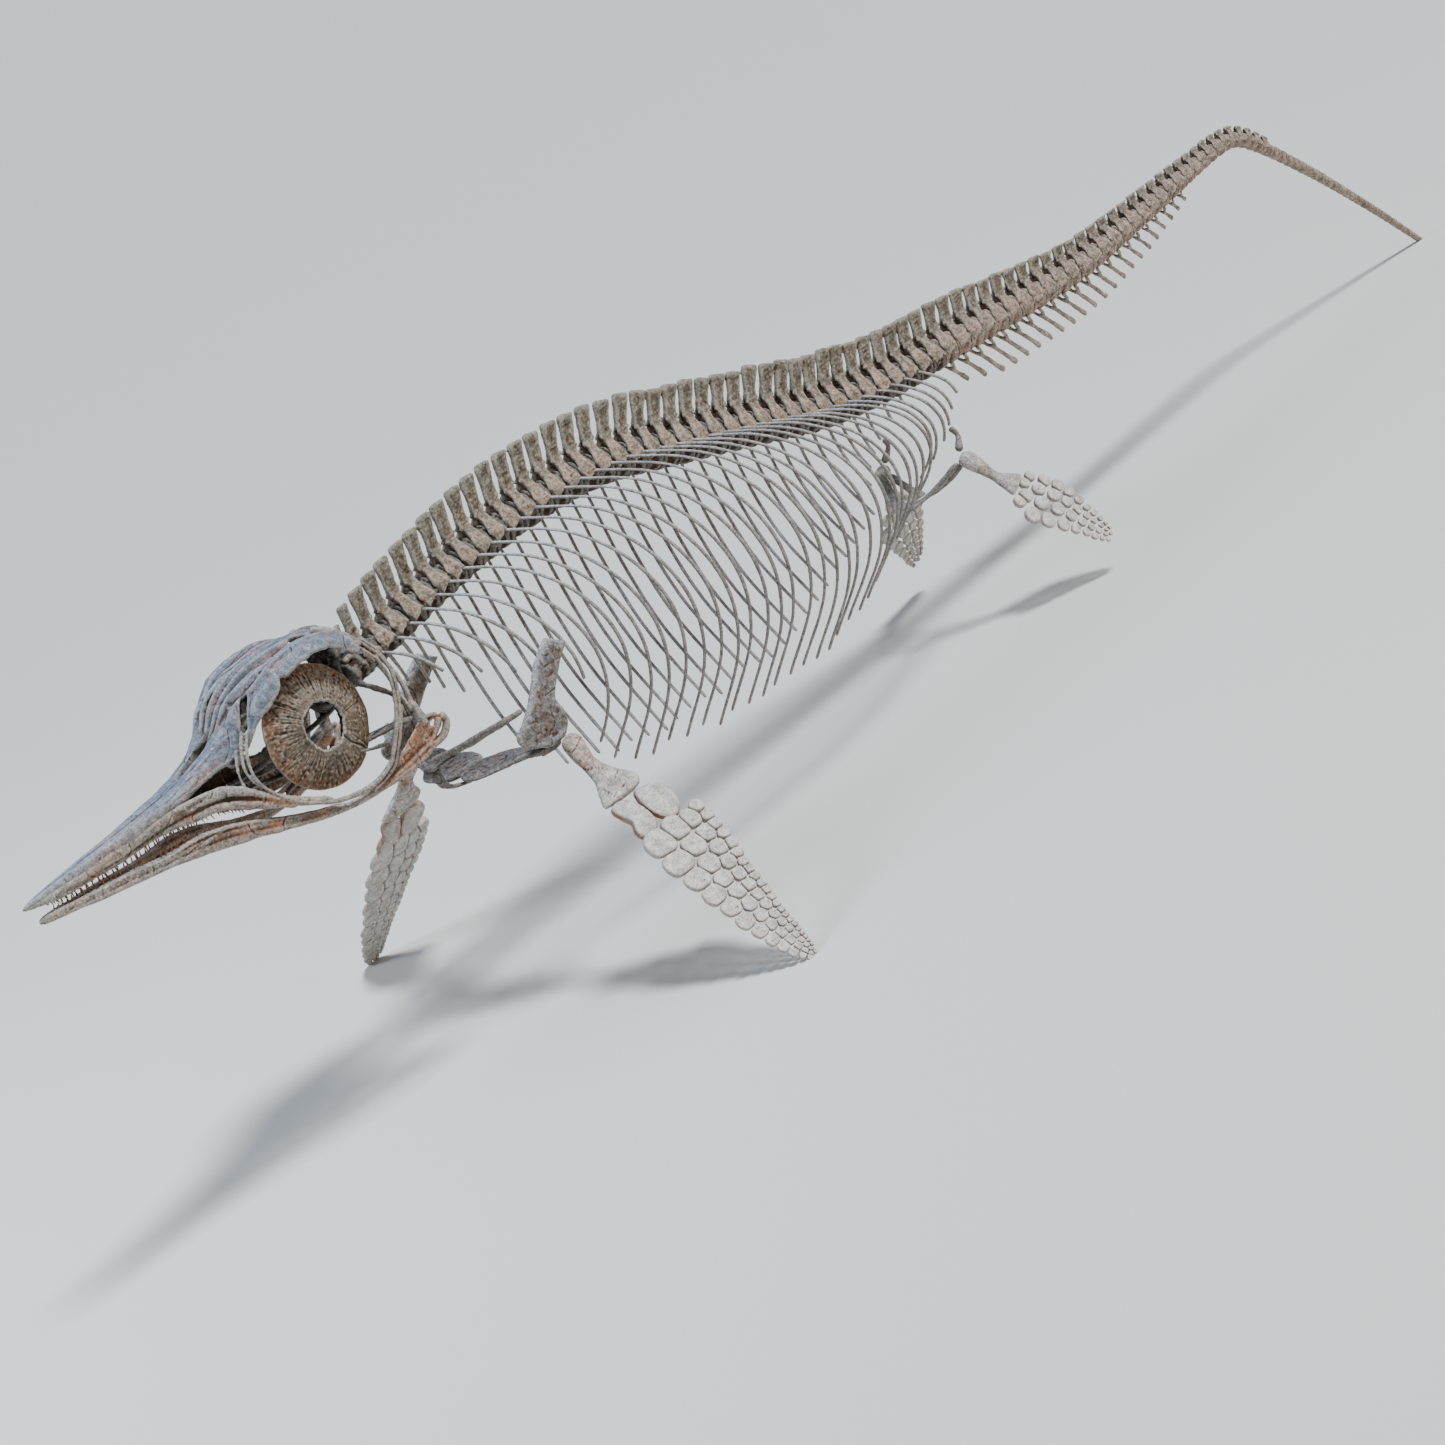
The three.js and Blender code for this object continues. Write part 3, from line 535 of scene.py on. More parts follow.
def new_group(name, inputs, outputs):
    """An empty shader node group with named sockets, its input and output nodes."""
    group = bpy.data.node_groups.new(name, "ShaderNodeTree")
    for label, kind, default in inputs:
        socket = group.interface.new_socket(name=label, in_out="INPUT", socket_type=kind)
        socket.default_value = default
    for label, kind in outputs:
        group.interface.new_socket(name=label, in_out="OUTPUT", socket_type=kind)
    return group, group.nodes.new("NodeGroupInput"), group.nodes.new("NodeGroupOutput")


def connect(tree, source, target):
    """Links one node's output to another's input."""
    tree.links.new(source, target)


def noise_node(tree, size, vector, detail=4.0, roughness=0.6):
    """A Noise Texture whose hills are `size` metres apart. `size` is a socket or a number."""
    node = tree.nodes.new("ShaderNodeTexNoise")
    node.inputs["Detail"].default_value = detail
    node.inputs["Roughness"].default_value = roughness
    connect(tree, vector, node.inputs["Vector"])
    if isinstance(size, (int, float)):
        node.inputs["Scale"].default_value = 1 / size
    else:
        inverse = tree.nodes.new("ShaderNodeMath")
        inverse.operation = "DIVIDE"
        inverse.inputs[0].default_value = 1.0
        connect(tree, size, inverse.inputs[1])
        connect(tree, inverse.outputs[0], node.inputs["Scale"])
    return node.outputs["Fac"]


def ranged(tree, value, low, high, to_low=0.0, to_high=1.0):
    """A value carried from one range to another and kept inside it."""
    node = tree.nodes.new("ShaderNodeMapRange")
    node.inputs["From Min"].default_value = low
    node.inputs["From Max"].default_value = high
    node.inputs["To Min"].default_value = to_low
    node.inputs["To Max"].default_value = to_high
    connect(tree, value, node.inputs["Value"])
    return node.outputs["Result"]


def computed(tree, operation, first, second):
    """Two values, each a socket or a number, through a Math node."""
    node = tree.nodes.new("ShaderNodeMath")
    node.operation = operation
    for socket, value in zip(node.inputs, (first, second)):
        if isinstance(value, (int, float)):
            socket.default_value = value
        else:
            connect(tree, value, socket)
    return node.outputs[0]


def mixed_colour(tree, share, first, second, blend="MIX"):
    """Two colours mixed by a share."""
    node = tree.nodes.new("ShaderNodeMix")
    node.data_type = "RGBA"
    node.blend_type = blend
    for label, value in (("Factor_Float", share), ("A_Color", first), ("B_Color", second)):
        socket = next(s for s in node.inputs if s.identifier == label)
        if isinstance(value, (int, float, tuple)):
            socket.default_value = value
        else:
            connect(tree, value, socket)
    return next(s for s in node.outputs if s.identifier == "Result_Color")


def attribute_value(tree, label):
    """The value that the mesh holds under a label."""
    node = tree.nodes.new("ShaderNodeAttribute")
    node.attribute_name = label
    return node.outputs["Fac"]


def fossil_group():
    """Old bone: patches of two colours, dark mottling, fine grain, rust that is partly painted warm light
    where the piece says so, painted warm light beside the creases, painted shade in the creases, painted
    highlights on the edges and a painted cool top light on what faces up."""
    group, source, result = new_group("fossil bone", [
        ("Bone", "NodeSocketColor", (0.5, 0.45, 0.4, 1)),
        ("Patch", "NodeSocketColor", (0.4, 0.3, 0.2, 1)),
        ("Crease Shade", "NodeSocketColor", (0.2, 0.08, 0.03, 1)),
        ("Rust And Warm Light", "NodeSocketColor", (0.35, 0.17, 0.09, 1)),
        ("Painted Top Light", "NodeSocketColor", (0.5, 0.55, 0.62, 1)),
        ("Patch Size", "NodeSocketFloat", 0.08),
        ("Patch Share", "NodeSocketFloat", 0.5),
        ("Grain Size", "NodeSocketFloat", 0.003),
        ("Crease Shade Strength", "NodeSocketFloat", 1.0),
        ("Painted Top Light Strength", "NodeSocketFloat", 0.5),
    ], [("Colour", "NodeSocketColor"), ("Roughness", "NodeSocketFloat"), ("Height", "NodeSocketFloat")])
    place = group.nodes.new("ShaderNodeTexCoord").outputs["Object"]
    hollow = attribute_value(group, "hollow")
    sockets = source.outputs
    patch = ranged(group, noise_node(group, sockets["Patch Size"], place, 5.0, 0.62), 0.42, 0.62)
    patch = computed(group, "MULTIPLY", patch, sockets["Patch Share"])
    colour = mixed_colour(group, patch, sockets["Bone"], sockets["Patch"])
    # Painted cool top light: faces that point up are mixed towards a lighter, cooler colour.
    lift = ranged(group, attribute_value(group, "upward"), 0.0, 0.9)
    lift = computed(group, "MULTIPLY", lift, sockets["Painted Top Light Strength"])
    colour = mixed_colour(group, lift, colour, sockets["Painted Top Light"])
    blotch = noise_node(group, 0.016, place, 5.0, 0.65)
    rust_and_warm_light = ranged(group, blotch, 0.3, 0.62, 0.25, 1.0)
    rust_and_warm_light = computed(group, "MULTIPLY", attribute_value(group, "warm"), rust_and_warm_light)
    colour = mixed_colour(group, rust_and_warm_light, colour, sockets["Rust And Warm Light"])
    # Painted warm light: the rust colour on the margins of the creases, where light grazes the edges.
    edge = computed(group, "MULTIPLY", ranged(group, hollow, 0.0, 0.22), ranged(group, blotch, 0.4, 0.7))
    edge = computed(group, "MULTIPLY", edge, sockets["Crease Shade Strength"])
    colour = mixed_colour(group, computed(group, "MULTIPLY", edge, 0.8), colour, sockets["Rust And Warm Light"])
    # Painted shade: the deeper creases are mixed towards the dark crease colour.
    crease_shade_share = ranged(group, blotch, 0.3, 0.7, 0.7, 1.0)
    crease_shade_share = computed(group, "MULTIPLY", ranged(group, hollow, 0.14, 0.62), crease_shade_share)
    crease_shade_share = computed(group, "MULTIPLY", crease_shade_share, sockets["Crease Shade Strength"])
    colour = mixed_colour(group, crease_shade_share, colour, sockets["Crease Shade"])
    # Painted highlight: convex edges are mixed towards a pale colour.
    painted_edge_highlight = ranged(group, hollow, -0.12, -0.8, 0.0, 0.55)
    pale = mixed_colour(group, 0.4, sockets["Bone"], (0.8, 0.79, 0.75, 1))
    colour = mixed_colour(group, painted_edge_highlight, colour, pale)
    grain = noise_node(group, sockets["Grain Size"], place, 6.0, 0.78)
    speckle = ranged(group, blotch, 0.35, 0.6, 0.72, 1.08)
    speckle = computed(group, "MULTIPLY", ranged(group, grain, 0.32, 0.68, 0.45, 1.45), speckle)
    shade = group.nodes.new("ShaderNodeCombineColor")
    for socket in shade.inputs:
        connect(group, speckle, socket)
    colour = mixed_colour(group, 1.0, colour, shade.outputs[0], "MULTIPLY")
    fine = noise_node(group, 0.0016, place, 4.0, 0.7)
    height = computed(group, "MULTIPLY", fine, 0.3)
    height = computed(group, "ADD", computed(group, "MULTIPLY", grain, 0.7), height)
    connect(group, colour, result.inputs["Colour"])
    connect(group, ranged(group, grain, 0.3, 0.7, 0.9, 0.6), result.inputs["Roughness"])
    connect(group, height, result.inputs["Height"])
    return group


def bone_material(name, bone, patch, painted_top_light=(0.42, 0.47, 0.55), rust_and_warm_light=None, patch_size=0.08, patch_share=0.5,
                  grain=0.004, crease_shade_strength=0.9, painted_top_light_strength=0.4, bump=0.0014):
    """A Principled surface fed by the fossil bone group."""
    group = bpy.data.node_groups.get("fossil bone") or fossil_group()
    material = bpy.data.materials.new(name)
    material.use_nodes = True
    tree = material.node_tree
    shader = tree.nodes["Principled BSDF"]
    node = tree.nodes.new("ShaderNodeGroup")
    node.node_tree = group
    for label, value in (
        ("Bone", bone), ("Patch", patch), ("Crease Shade", colours().shade_in_creases), ("Rust And Warm Light", rust_and_warm_light or colours().rust_and_warm_light),
        ("Painted Top Light", painted_top_light),
    ):
        node.inputs[label].default_value = (*tuple(value)[:3], 1)
    for label, value in (
        ("Patch Size", patch_size), ("Patch Share", patch_share), ("Grain Size", grain),
        ("Crease Shade Strength", crease_shade_strength), ("Painted Top Light Strength", painted_top_light_strength),
    ):
        node.inputs[label].default_value = value
    relief = tree.nodes.new("ShaderNodeBump")
    relief.inputs["Strength"].default_value = 1.0
    relief.inputs["Distance"].default_value = bump
    connect(tree, node.outputs["Height"], relief.inputs["Height"])
    connect(tree, node.outputs["Colour"], shader.inputs["Base Color"])
    connect(tree, node.outputs["Roughness"], shader.inputs["Roughness"])
    connect(tree, relief.outputs["Normal"], shader.inputs["Normal"])
    shader.inputs["Specular IOR Level"].default_value = 0.35
    return material


def darker(colour, share, warm=0.0):
    """A share of a colour, its red raised and its blue lowered by `warm`."""
    red, green, blue = tuple(colour)[:3]
    return red * share * (1 + warm), green * share, blue * share * (1 - warm)


# The backbone's own curve

_route = smooth_curve([(x, 0, z) for x, z in BACKBONE], np.linspace(0, 1, BACKBONE_SAMPLES))
_steps = np.linalg.norm(np.diff(_route, axis=0), axis=1)
_distance = np.concatenate([[0], np.cumsum(_steps)])
_heading = unit(np.gradient(_route, axis=0))


def place_at(distance):
    """The backbone's centre, its heading and the direction up from it, at distances along it."""
    distance = np.clip(np.asarray(distance, float), 0, _distance[-1])
    centre = np.stack([np.interp(distance, _distance, _route[:, k]) for k in range(3)], axis=-1)
    along = unit(np.stack([np.interp(distance, _distance, _heading[:, k]) for k in range(3)], axis=-1))
    above = np.stack([-along[..., 2], np.zeros_like(along[..., 0]), along[..., 0]], axis=-1)
    return centre, along, above


def vertebra_row():
    """The distance of each vertebra along the backbone: each step is the mean of two pitches."""
    distance = np.interp(FIRST_VERTEBRA_X, _route[:, 0], _distance)
    found = []
    while distance < _distance[-1] - TAIL_END_SPARE:
        found.append(distance)
        distance += (read(PITCH, len(found) - 1) + read(PITCH, len(found))) / 2
    return np.array(found)


VERTEBRA_DISTANCE = vertebra_row()
# A centrum's half section: share of its length, share of its radius.
SPOOL = (
    (0, 0.74), (0.03, 0.86), (0.07, 0.96), (0.13, 1.0), (0.3, 0.9), (0.5, 0.85), (0.7, 0.9), (0.87, 1.0),
    (0.93, 0.96), (0.97, 0.86),
)
SPINE_LEAN = math.tan(math.radians(14))
KNEE_LEVEL = 1.5
# A spine's layers: the lowest as shares of the radius, the others as shares of the way up from there,
# and the half width of each as a share of the radius.
SPINE_FOOT = (0.8, 1.2, 1.5, 1.7, 1.85)
SPINE_BLADE = (0.16, 0.34, 0.52, 0.68, 0.8, 0.88, 0.94, 0.975, 0.993, 1.0)
SPINE_WIDTH = (0.5, 0.3, 0.24, 0.2, 0.17, 0.15, 0.14, 0.14, 0.145, 0.15, 0.16, 0.16, 0.14, 0.1, 0.05)
SPINE_SIDES = 28
# How much longer or shorter the first two blades are.
NECK_BLADES = {0: 1.25, 1: 0.72}
# A leg of the arch: how far out and up it is and its half thickness, as shares of the radius, and its
# half length and shift along the backbone, as shares of the pitch.
LEG_TABLE = (
    (0.05, 1.85, 0.09, 0.30, 0.0), (0.1, 1.62, 0.12, 0.29, 0.0), (0.18, 1.38, 0.14, 0.27, 0.0),
    (0.32, 1.14, 0.15, 0.27, -0.02), (0.52, 0.92, 0.15, 0.3, -0.05), (0.73, 0.68, 0.14, 0.36, -0.09),
    (0.88, 0.44, 0.13, 0.42, -0.12), (0.96, 0.22, 0.11, 0.4, -0.15), (1.0, 0.06, 0.09, 0.26, -0.22),
    (1.02, -0.1, 0.06, 0.13, -0.29), (1.04, -0.28, 0.04, 0.04, -0.34),
)


# The first vertebra sits against the skull, so its legs stop short.
FIRST_LEG_SHARE = 0.4


def in_vertebra(local, distance):
    """From (along, sideways, up) at a vertebra to the skeleton's frame."""
    centre, along, above = place_at(distance)
    flat = centre + local[..., :1] * along + local[..., 2:] * above
    flat[..., 1] += local[..., 1]
    return flat


def centra_shell(numbers, sides=44):
    """The round bodies of a run of vertebrae: a spool-shaped half section turned about the backbone,
    one after the other, with a deep groove at each joint."""
    distance, radius = [], []
    for number in numbers:
        pitch = float(read(PITCH, number))
        start = VERTEBRA_DISTANCE[number] - pitch / 2
        size = float(read(CENTRUM_RADIUS, number))
        shares = np.array(SPOOL)
        distance.append(start + shares[:, 0] * pitch)
        radius.append(shares[:, 1] * size)
    last = numbers[-1]
    final = VERTEBRA_DISTANCE[last] + float(read(PITCH, last)) / 2
    if last == len(VERTEBRA_DISTANCE) - 1:
        final = _distance[-1] - 4
    distance = np.concatenate(distance + [[final]])
    radius = np.concatenate(radius + [[SPOOL[0][1] * float(read(CENTRUM_RADIUS, last))]])
    distance[0] += 0.6
    distance[-1] -= 0.6
    centre, _, above = place_at(distance)
    angle = 2 * np.pi * np.arange(sides) / sides
    rings = centre[:, None] + above[:, None] * (radius[:, None] * np.sin(angle))[..., None]
    rings[..., 1] += radius[:, None] * np.cos(angle)
    return closed_tubes(rings)


def spine_shell(number, rng):
    """A neural spine: boxy ovals stacked from the arch to its top, narrow at the neck and wider above,
    leaning back, its top edge falling towards the tail."""
    radius, pitch = float(read(CENTRUM_RADIUS, number)), float(read(PITCH, number))
    top = float(read(SPINE_HEIGHT, number)) * (1 + rng.uniform(-0.03, 0.02))
    foot = np.array(SPINE_FOOT) * radius
    start = foot[-1]
    height = np.append(foot, start + np.array(SPINE_BLADE) * (top - start))
    flare = rng.uniform(0.45, 0.485)
    neck = rng.uniform(0.35, 0.39)
    long_share = np.array([0.26, 0.28, 0.3, neck, neck, neck, neck + 0.02, 0.5 * (neck + flare), flare - 0.02,
                           flare, flare, flare * 0.98, flare * 0.9, flare * 0.74, flare * 0.5])
    long_share[len(foot):] *= NECK_BLADES.get(number, 1)
    cosine, sine = boxed_circle(circle_angles(SPINE_SIDES, 0.5), 0.6)
    lean = (SPINE_LEAN + rng.uniform(-0.015, 0.015)) * np.maximum(0, height - KNEE_LEVEL * radius)
    slant = np.interp(height, [start, top], [0, 0.04 * pitch])
    twist = rng.uniform(-0.05, 0.05) * np.maximum(0, height - start)
    local = np.stack([
        lean[:, None] + (long_share * pitch)[:, None] * cosine,
        (np.array(SPINE_WIDTH) * radius)[:, None] * sine + twist[:, None],
        height[:, None] - slant[:, None] * (cosine + 1) * 0.8,
    ], axis=-1)
    return closed_tubes(in_vertebra(local, VERTEBRA_DISTANCE[number]))


def arch_shells(number):
    """The two legs of a neural arch: straps that run out and down from the spine over the side of the
    centrum to a point, a small spur behind it, and the knuckles that meet the next vertebra's."""
    radius, pitch = float(read(CENTRUM_RADIUS, number)), float(read(PITCH, number))
    share = np.linspace(0, FIRST_LEG_SHARE if number == 0 else 1, 26)
    course = smooth_curve(np.array(LEG_TABLE), share)
    shells = []
    for side in (LEFT, RIGHT):
        points = np.stack([course[:, 4] * pitch, side * course[:, 0] * radius, course[:, 1] * radius], axis=1)
        rings = bar_rings(
            points, course[:, 3] * pitch, course[:, 2] * radius, sides=20, steps=36, up=(0, side, 0.6),
            reach=0.02, boxy=0.75,
        )
        shells.append(closed_tubes(in_vertebra(rings, VERTEBRA_DISTANCE[number])))
        spur = [
            (0.2 * pitch, side * 0.94 * radius, 0.36 * radius),
            (0.3 * pitch, side * 1.04 * radius, 0.12 * radius),
            (0.37 * pitch, side * 1.1 * radius, -0.12 * radius),
        ]
        rings = bar_rings(spur, np.array([0.14, 0.08, 0.03]) * pitch, np.array([0.12, 0.09, 0.04]) * radius,
                          sides=10, steps=12, up=(0, side, 0.6), reach=0.05)
        shells.append(closed_tubes(in_vertebra(rings, VERTEBRA_DISTANCE[number])))
        knuckle = [
            (-0.44 * pitch, side * 0.2 * radius, 1.4 * radius), (0, side * 0.16 * radius, 1.5 * radius),
            (0.44 * pitch, side * 0.18 * radius, 1.66 * radius),
        ]
        rings = bar_rings(knuckle, np.array([0.07, 0.12, 0.07]) * radius,
                          np.array([0.09, 0.2, 0.09]) * radius,
                          sides=14, steps=16, reach=0.2)
        shells.append(closed_tubes(in_vertebra(rings, VERTEBRA_DISTANCE[number])))
    return shells


def chevron_shells(number):
    """A Y of bone under a tail vertebra: two legs from the centrum that join in a blade pointing back."""
    radius, length = float(read(CENTRUM_RADIUS, number)), float(read(CHEVRON_LENGTH, number))
    pitch = float(read(PITCH, number))
    centre = place_at(VERTEBRA_DISTANCE[number])[0]
    join = centre + np.array([0.16 * length, 0, -radius - 0.2 * length])
    foot = centre + np.array([0.57 * length, 0, -radius - 0.72 * length])
    shells = [bar([join + (-0.1 * length, 0, 0.12 * length), (join + foot) / 2, foot],
                  np.array([0.1, 0.12, 0.1]) * radius, np.array([0.1, 0.13, 0.17]) * pitch,
                  sides=14, steps=18, up=BACKWARDS, reach=0.08)]
    for side in (LEFT, RIGHT):
        root = centre + np.array([0, side * 0.42 * radius, -0.8 * radius])
        elbow = (root + join) / 2 + (0, side * 0.12 * radius, 0)
        shells.append(bar([root, elbow, join + (0.02 * length, 0, -4)],
                          np.array([0.13, 0.1, 0.1]) * radius, np.array([0.13, 0.1, 0.1]) * pitch,
                          sides=12, steps=12, up=BACKWARDS))
    return shells


def vertebra_relief(points, normal):
    """Wrinkles across the arches, broad dents and fine pits, in mm."""
    return (0.35 * folds(points, (30, 20, 8), 11) + 0.8 * bumps(points, 14, 12)
            + 0.5 * bumps(points, 6, 13) - 0.6 * cracks(points, 40, 0.025, 14))


def arch_warmth(points):
    """Rosy below the level where the arch turns outwards: a fall from the backbone's height at x."""
    order = np.argsort(_route[:, 0])
    level = np.interp(points[:, 0], _route[order, 0], _route[order, 2])
    number = np.interp(points[:, 0], place_at(VERTEBRA_DISTANCE)[0][:, 0], np.arange(len(VERTEBRA_DISTANCE)))
    radius = read(CENTRUM_RADIUS, number)
    rise = (points[:, 2] - level) / radius
    return np.interp(rise, [-0.6, 1.0, 1.75], [0.9, 0.75, 0.0]) + 0.15 * bumps(points, 30, 15)


class OBJECT_OT_vertebrae(bpy.types.Operator):
    """Builds the backbone, one piece for each stretch of the frame"""

    bl_idname = "skeleton.vertebrae"
    bl_label = "Vertebrae"

    def execute(self, context):
        rng = np.random.default_rng(20)
        materials = {
            "trunk_bone": bone_material(
                "vertebra bone", colours().vertebra, darker(colours().vertebra, 0.62, 0.08), patch_size=0.05,
                rust_and_warm_light=(0.40, 0.26, 0.185), painted_top_light=(0.21, 0.2, 0.16), painted_top_light_strength=0.35),
            "tail_bone": bone_material(
                "tail bone", darker(colours().vertebra, 0.95), darker(colours().vertebra, 0.62, 0.08),
                patch_size=0.05, rust_and_warm_light=(0.36, 0.24, 0.18), painted_top_light=(0.36, 0.35, 0.33), painted_top_light_strength=0.45),
        }
        # The trunk's centra get a near-black bone: painted shade, as they lie in the shadow under the arches
        # and rib heads.
        centrum = bone_material(
            "centrum painted shade", darker(colours().vertebra, 0.22, 0.2), darker(colours().vertebra, 0.12, 0.25),
            patch_size=0.05, rust_and_warm_light=(0.05, 0.026, 0.014), painted_top_light=(0.06, 0.056, 0.054), painted_top_light_strength=0.3)
        for prefix, starts in SECTIONS:
            for k, (start, stop) in enumerate(zip(starts, starts[1:])):
                numbers = range(start, min(stop, len(VERTEBRA_DISTANCE)))
                grain = sizes().vertebra_grain / METRES_PER_MM
                finer = float(np.interp(start, [36, 60, 86], [1, 0.75, 0.5]))
                depth = float(np.interp(start, [50, 80], [1, 0.35]))
                bodies, arches = [centra_shell(numbers)], []
                for number in numbers:
                    if number < FLUKE_START:
                        arches.append(spine_shell(number, rng))
                        arches.extend(arch_shells(number))
                    if FIRST_CHEVRON <= number <= LAST_CHEVRON:
                        arches.extend(chevron_shells(number))
                slot = "trunk_bone" if prefix == "backbone_and_ribs" else "tail_bone"
                body_material = centrum if slot == "trunk_bone" else materials[slot]
                groups = [("centra", bodies, 1.3, body_material), ("arches", arches, 1.0, materials[slot])]
                for label, shells, coarser, material in groups:
                    if not shells:
                        continue
                    shell = fused(shells, grain * finer * coarser)
                    shell = roughened(shell, lambda p, n: depth * vertebra_relief(p, n))
                    shell[0][:, 2] = np.maximum(shell[0][:, 2], 0)
                    add_piece(f"{prefix}_{k + 1}_{label}", [shell], material, [f"{prefix}_{k + 1}"],
                              warm=arch_warmth)
        return {"FINISHED"}


def rib_rings(number, side, rng, sides=12, steps=56):
    """A rib: a slightly flat tube along a smooth curve through shares of its sweep, width and depth."""
    centre = place_at(VERTEBRA_DISTANCE[number])[0]
    width = float(read(RIB_WIDTH, number)) * (1 + rng.uniform(-0.012, 0.008))
    depth = float(read(RIB_DEPTH, number)) * (1 + rng.uniform(-0.02, 0.01))
    sweep = float(read(RIB_SWEEP, number)) + rng.uniform(-6, 6)
    radius = float(read(CENTRUM_RADIUS, number))
    root = [centre[0], RIB_ROOT_OUT * radius, centre[2] + RIB_ROOT_UP * radius]
    shape = np.array(RIB_SHAPE) * [sweep, width, -depth] + [centre[0], 0, centre[2]]
    reach = float(read(RIB_REACH, number))
    share = reach * np.append(np.linspace(0, 0.982, steps - 3), (0.988, 0.993, 0.997, 1))
    line = smooth_curve(np.vstack([root, shape]), share)
    line[:, 2] += np.interp(share / reach, RIB_RAISE_AT, RIB_RAISE) * radius
    line[:, 1] *= side
    thick = np.interp(share / reach, RIB_THICKNESS_AT, RIB_THICKNESS)
    size = np.interp(share / reach, [0, 1], [sizes().rib_radius, sizes().rib_tip_radius]) / METRES_PER_MM
    half = size * thick * np.maximum(end_rounding(share / reach, 0.009), 0.2)
    along = unit(np.gradient(line, axis=0))
    back = unit(np.array([1.0, 0, 0]) - along * along[:, :1])
    out = np.cross(along, back)
    angle = 2 * np.pi * np.arange(sides) / sides
    ridge = 1 + 0.12 * np.cos(2 * angle)
    return (line[:, None] + back[:, None] * (half[:, None] * ridge * np.cos(angle))[..., None]
            + out[:, None] * (half[:, None] * 0.86 * np.sin(angle))[..., None])


def rib_relief(points, normal):
    """Low swellings and fine pits, in mm."""
    return 0.35 * bumps(points, 11, 31) + 0.2 * bumps(points, 4, 32)


def rib_warmth(points):
    """Browner low down and in a few long patches."""
    return np.interp(points[:, 2], [230, 520], [0.85, 0.1]) + 0.35 * bumps(points, 60, 33)


class OBJECT_OT_ribs(bpy.types.Operator):
    """Builds the ribs, one piece for each stretch of the frame"""

    bl_idname = "skeleton.ribs"
    bl_label = "Ribs"

    def execute(self, context):
        rng = np.random.default_rng(7)
        material = bone_material(
            "rib bone", colours().rib, darker(colours().rib, 0.5, 0.1), patch_size=0.09,
            rust_and_warm_light=(0.17, 0.11, 0.08), painted_top_light=(0.46, 0.52, 0.64), painted_top_light_strength=0.95, crease_shade_strength=0.5)
        prefix, starts = SECTIONS[0]
        for k, (start, stop) in enumerate(zip(starts, starts[1:])):
            numbers = [n for n in range(start, stop) if FIRST_RIB <= n <= LAST_RIB]
            rings = np.stack([rib_rings(n, side, rng) for n in numbers for side in (LEFT, RIGHT)])
            shell = closed_tubes(rings)
            shell = roughened(shell, rib_relief, smoothing=0)
            add_piece(f"ribs_{k + 1}", [shell], material, [f"{prefix}_{k + 1}"],
                      warm=rib_warmth)
        return {"FINISHED"}


# The skull. Stations of the snout: x, top, underside and half width.
SNOUT = (
    (-2165, 748, 744, 3), (-2132, 753, 735, 9), (-2067, 757, 724, 17), (-1970, 761, 716, 27),
    (-1860, 767, 714, 41), (-1786, 779, 706, 51),
)
# Stations of the roof: x, ridge height, shoulder y and z, edge y and z.
ROOF = (
    (-1810, 770, 22, 764, 40, 748), (-1720, 789, 28, 784, 56, 762), (-1680, 806, 34, 800, 70, 768),
    (-1640, 840, 48, 840, 86, 794), (-1592, 864, 64, 857, 118, 822), (-1545, 875, 72, 871, 127, 850),
    (-1480, 878, 76, 876, 131, 858), (-1430, 875, 80, 872, 137, 845), (-1384, 867, 84, 856, 146, 806),
)
ROOF_THICKNESS = 7.0
ORBIT_RIM = (
    (-1640, 84, 796), (-1668, 88, 756), (-1678, 96, 717), (-1665, 104, 682), (-1630, 116, 640),
    (-1568, 132, 606), (-1505, 145, 596), (-1456, 153, 608), (-1428, 157, 636), (-1398, 158, 676),
    (-1373, 155, 728), (-1371, 150, 772), (-1392, 144, 816),
)
ORBIT_CENTRE = (-1522, 120, 729)


def snout_stations():
    """x, height above the underside, underside and half width along the snout, as arrays."""
    _, top, under, half = np.array(SNOUT, float).T
    return np.array([-2160, -2132, -2067, -1970, -1860, -1786]), top, under, half


def nasal_shells():
    """The long bones on top of the snout, which widen into the skull's roof."""
    x, top, under, half = snout_stations()
    height = top - under
    course = np.stack([x, 0.40 * half, top - 0.34 * height], axis=1)
    course = np.vstack([course, [(-1720, 20, 776), (-1672, 29, 800), (-1620, 38, 838)]])
    course[3:6, 2] += (0, 2, 3)
    across = np.append(0.56 * half, [22, 22, 20])
    upward = np.append(np.minimum(0.36 * height, 15), [12, 10, 8])
    return pair(course, across, upward, sides=28, steps=150, boxy=0.85, reach=0.015)


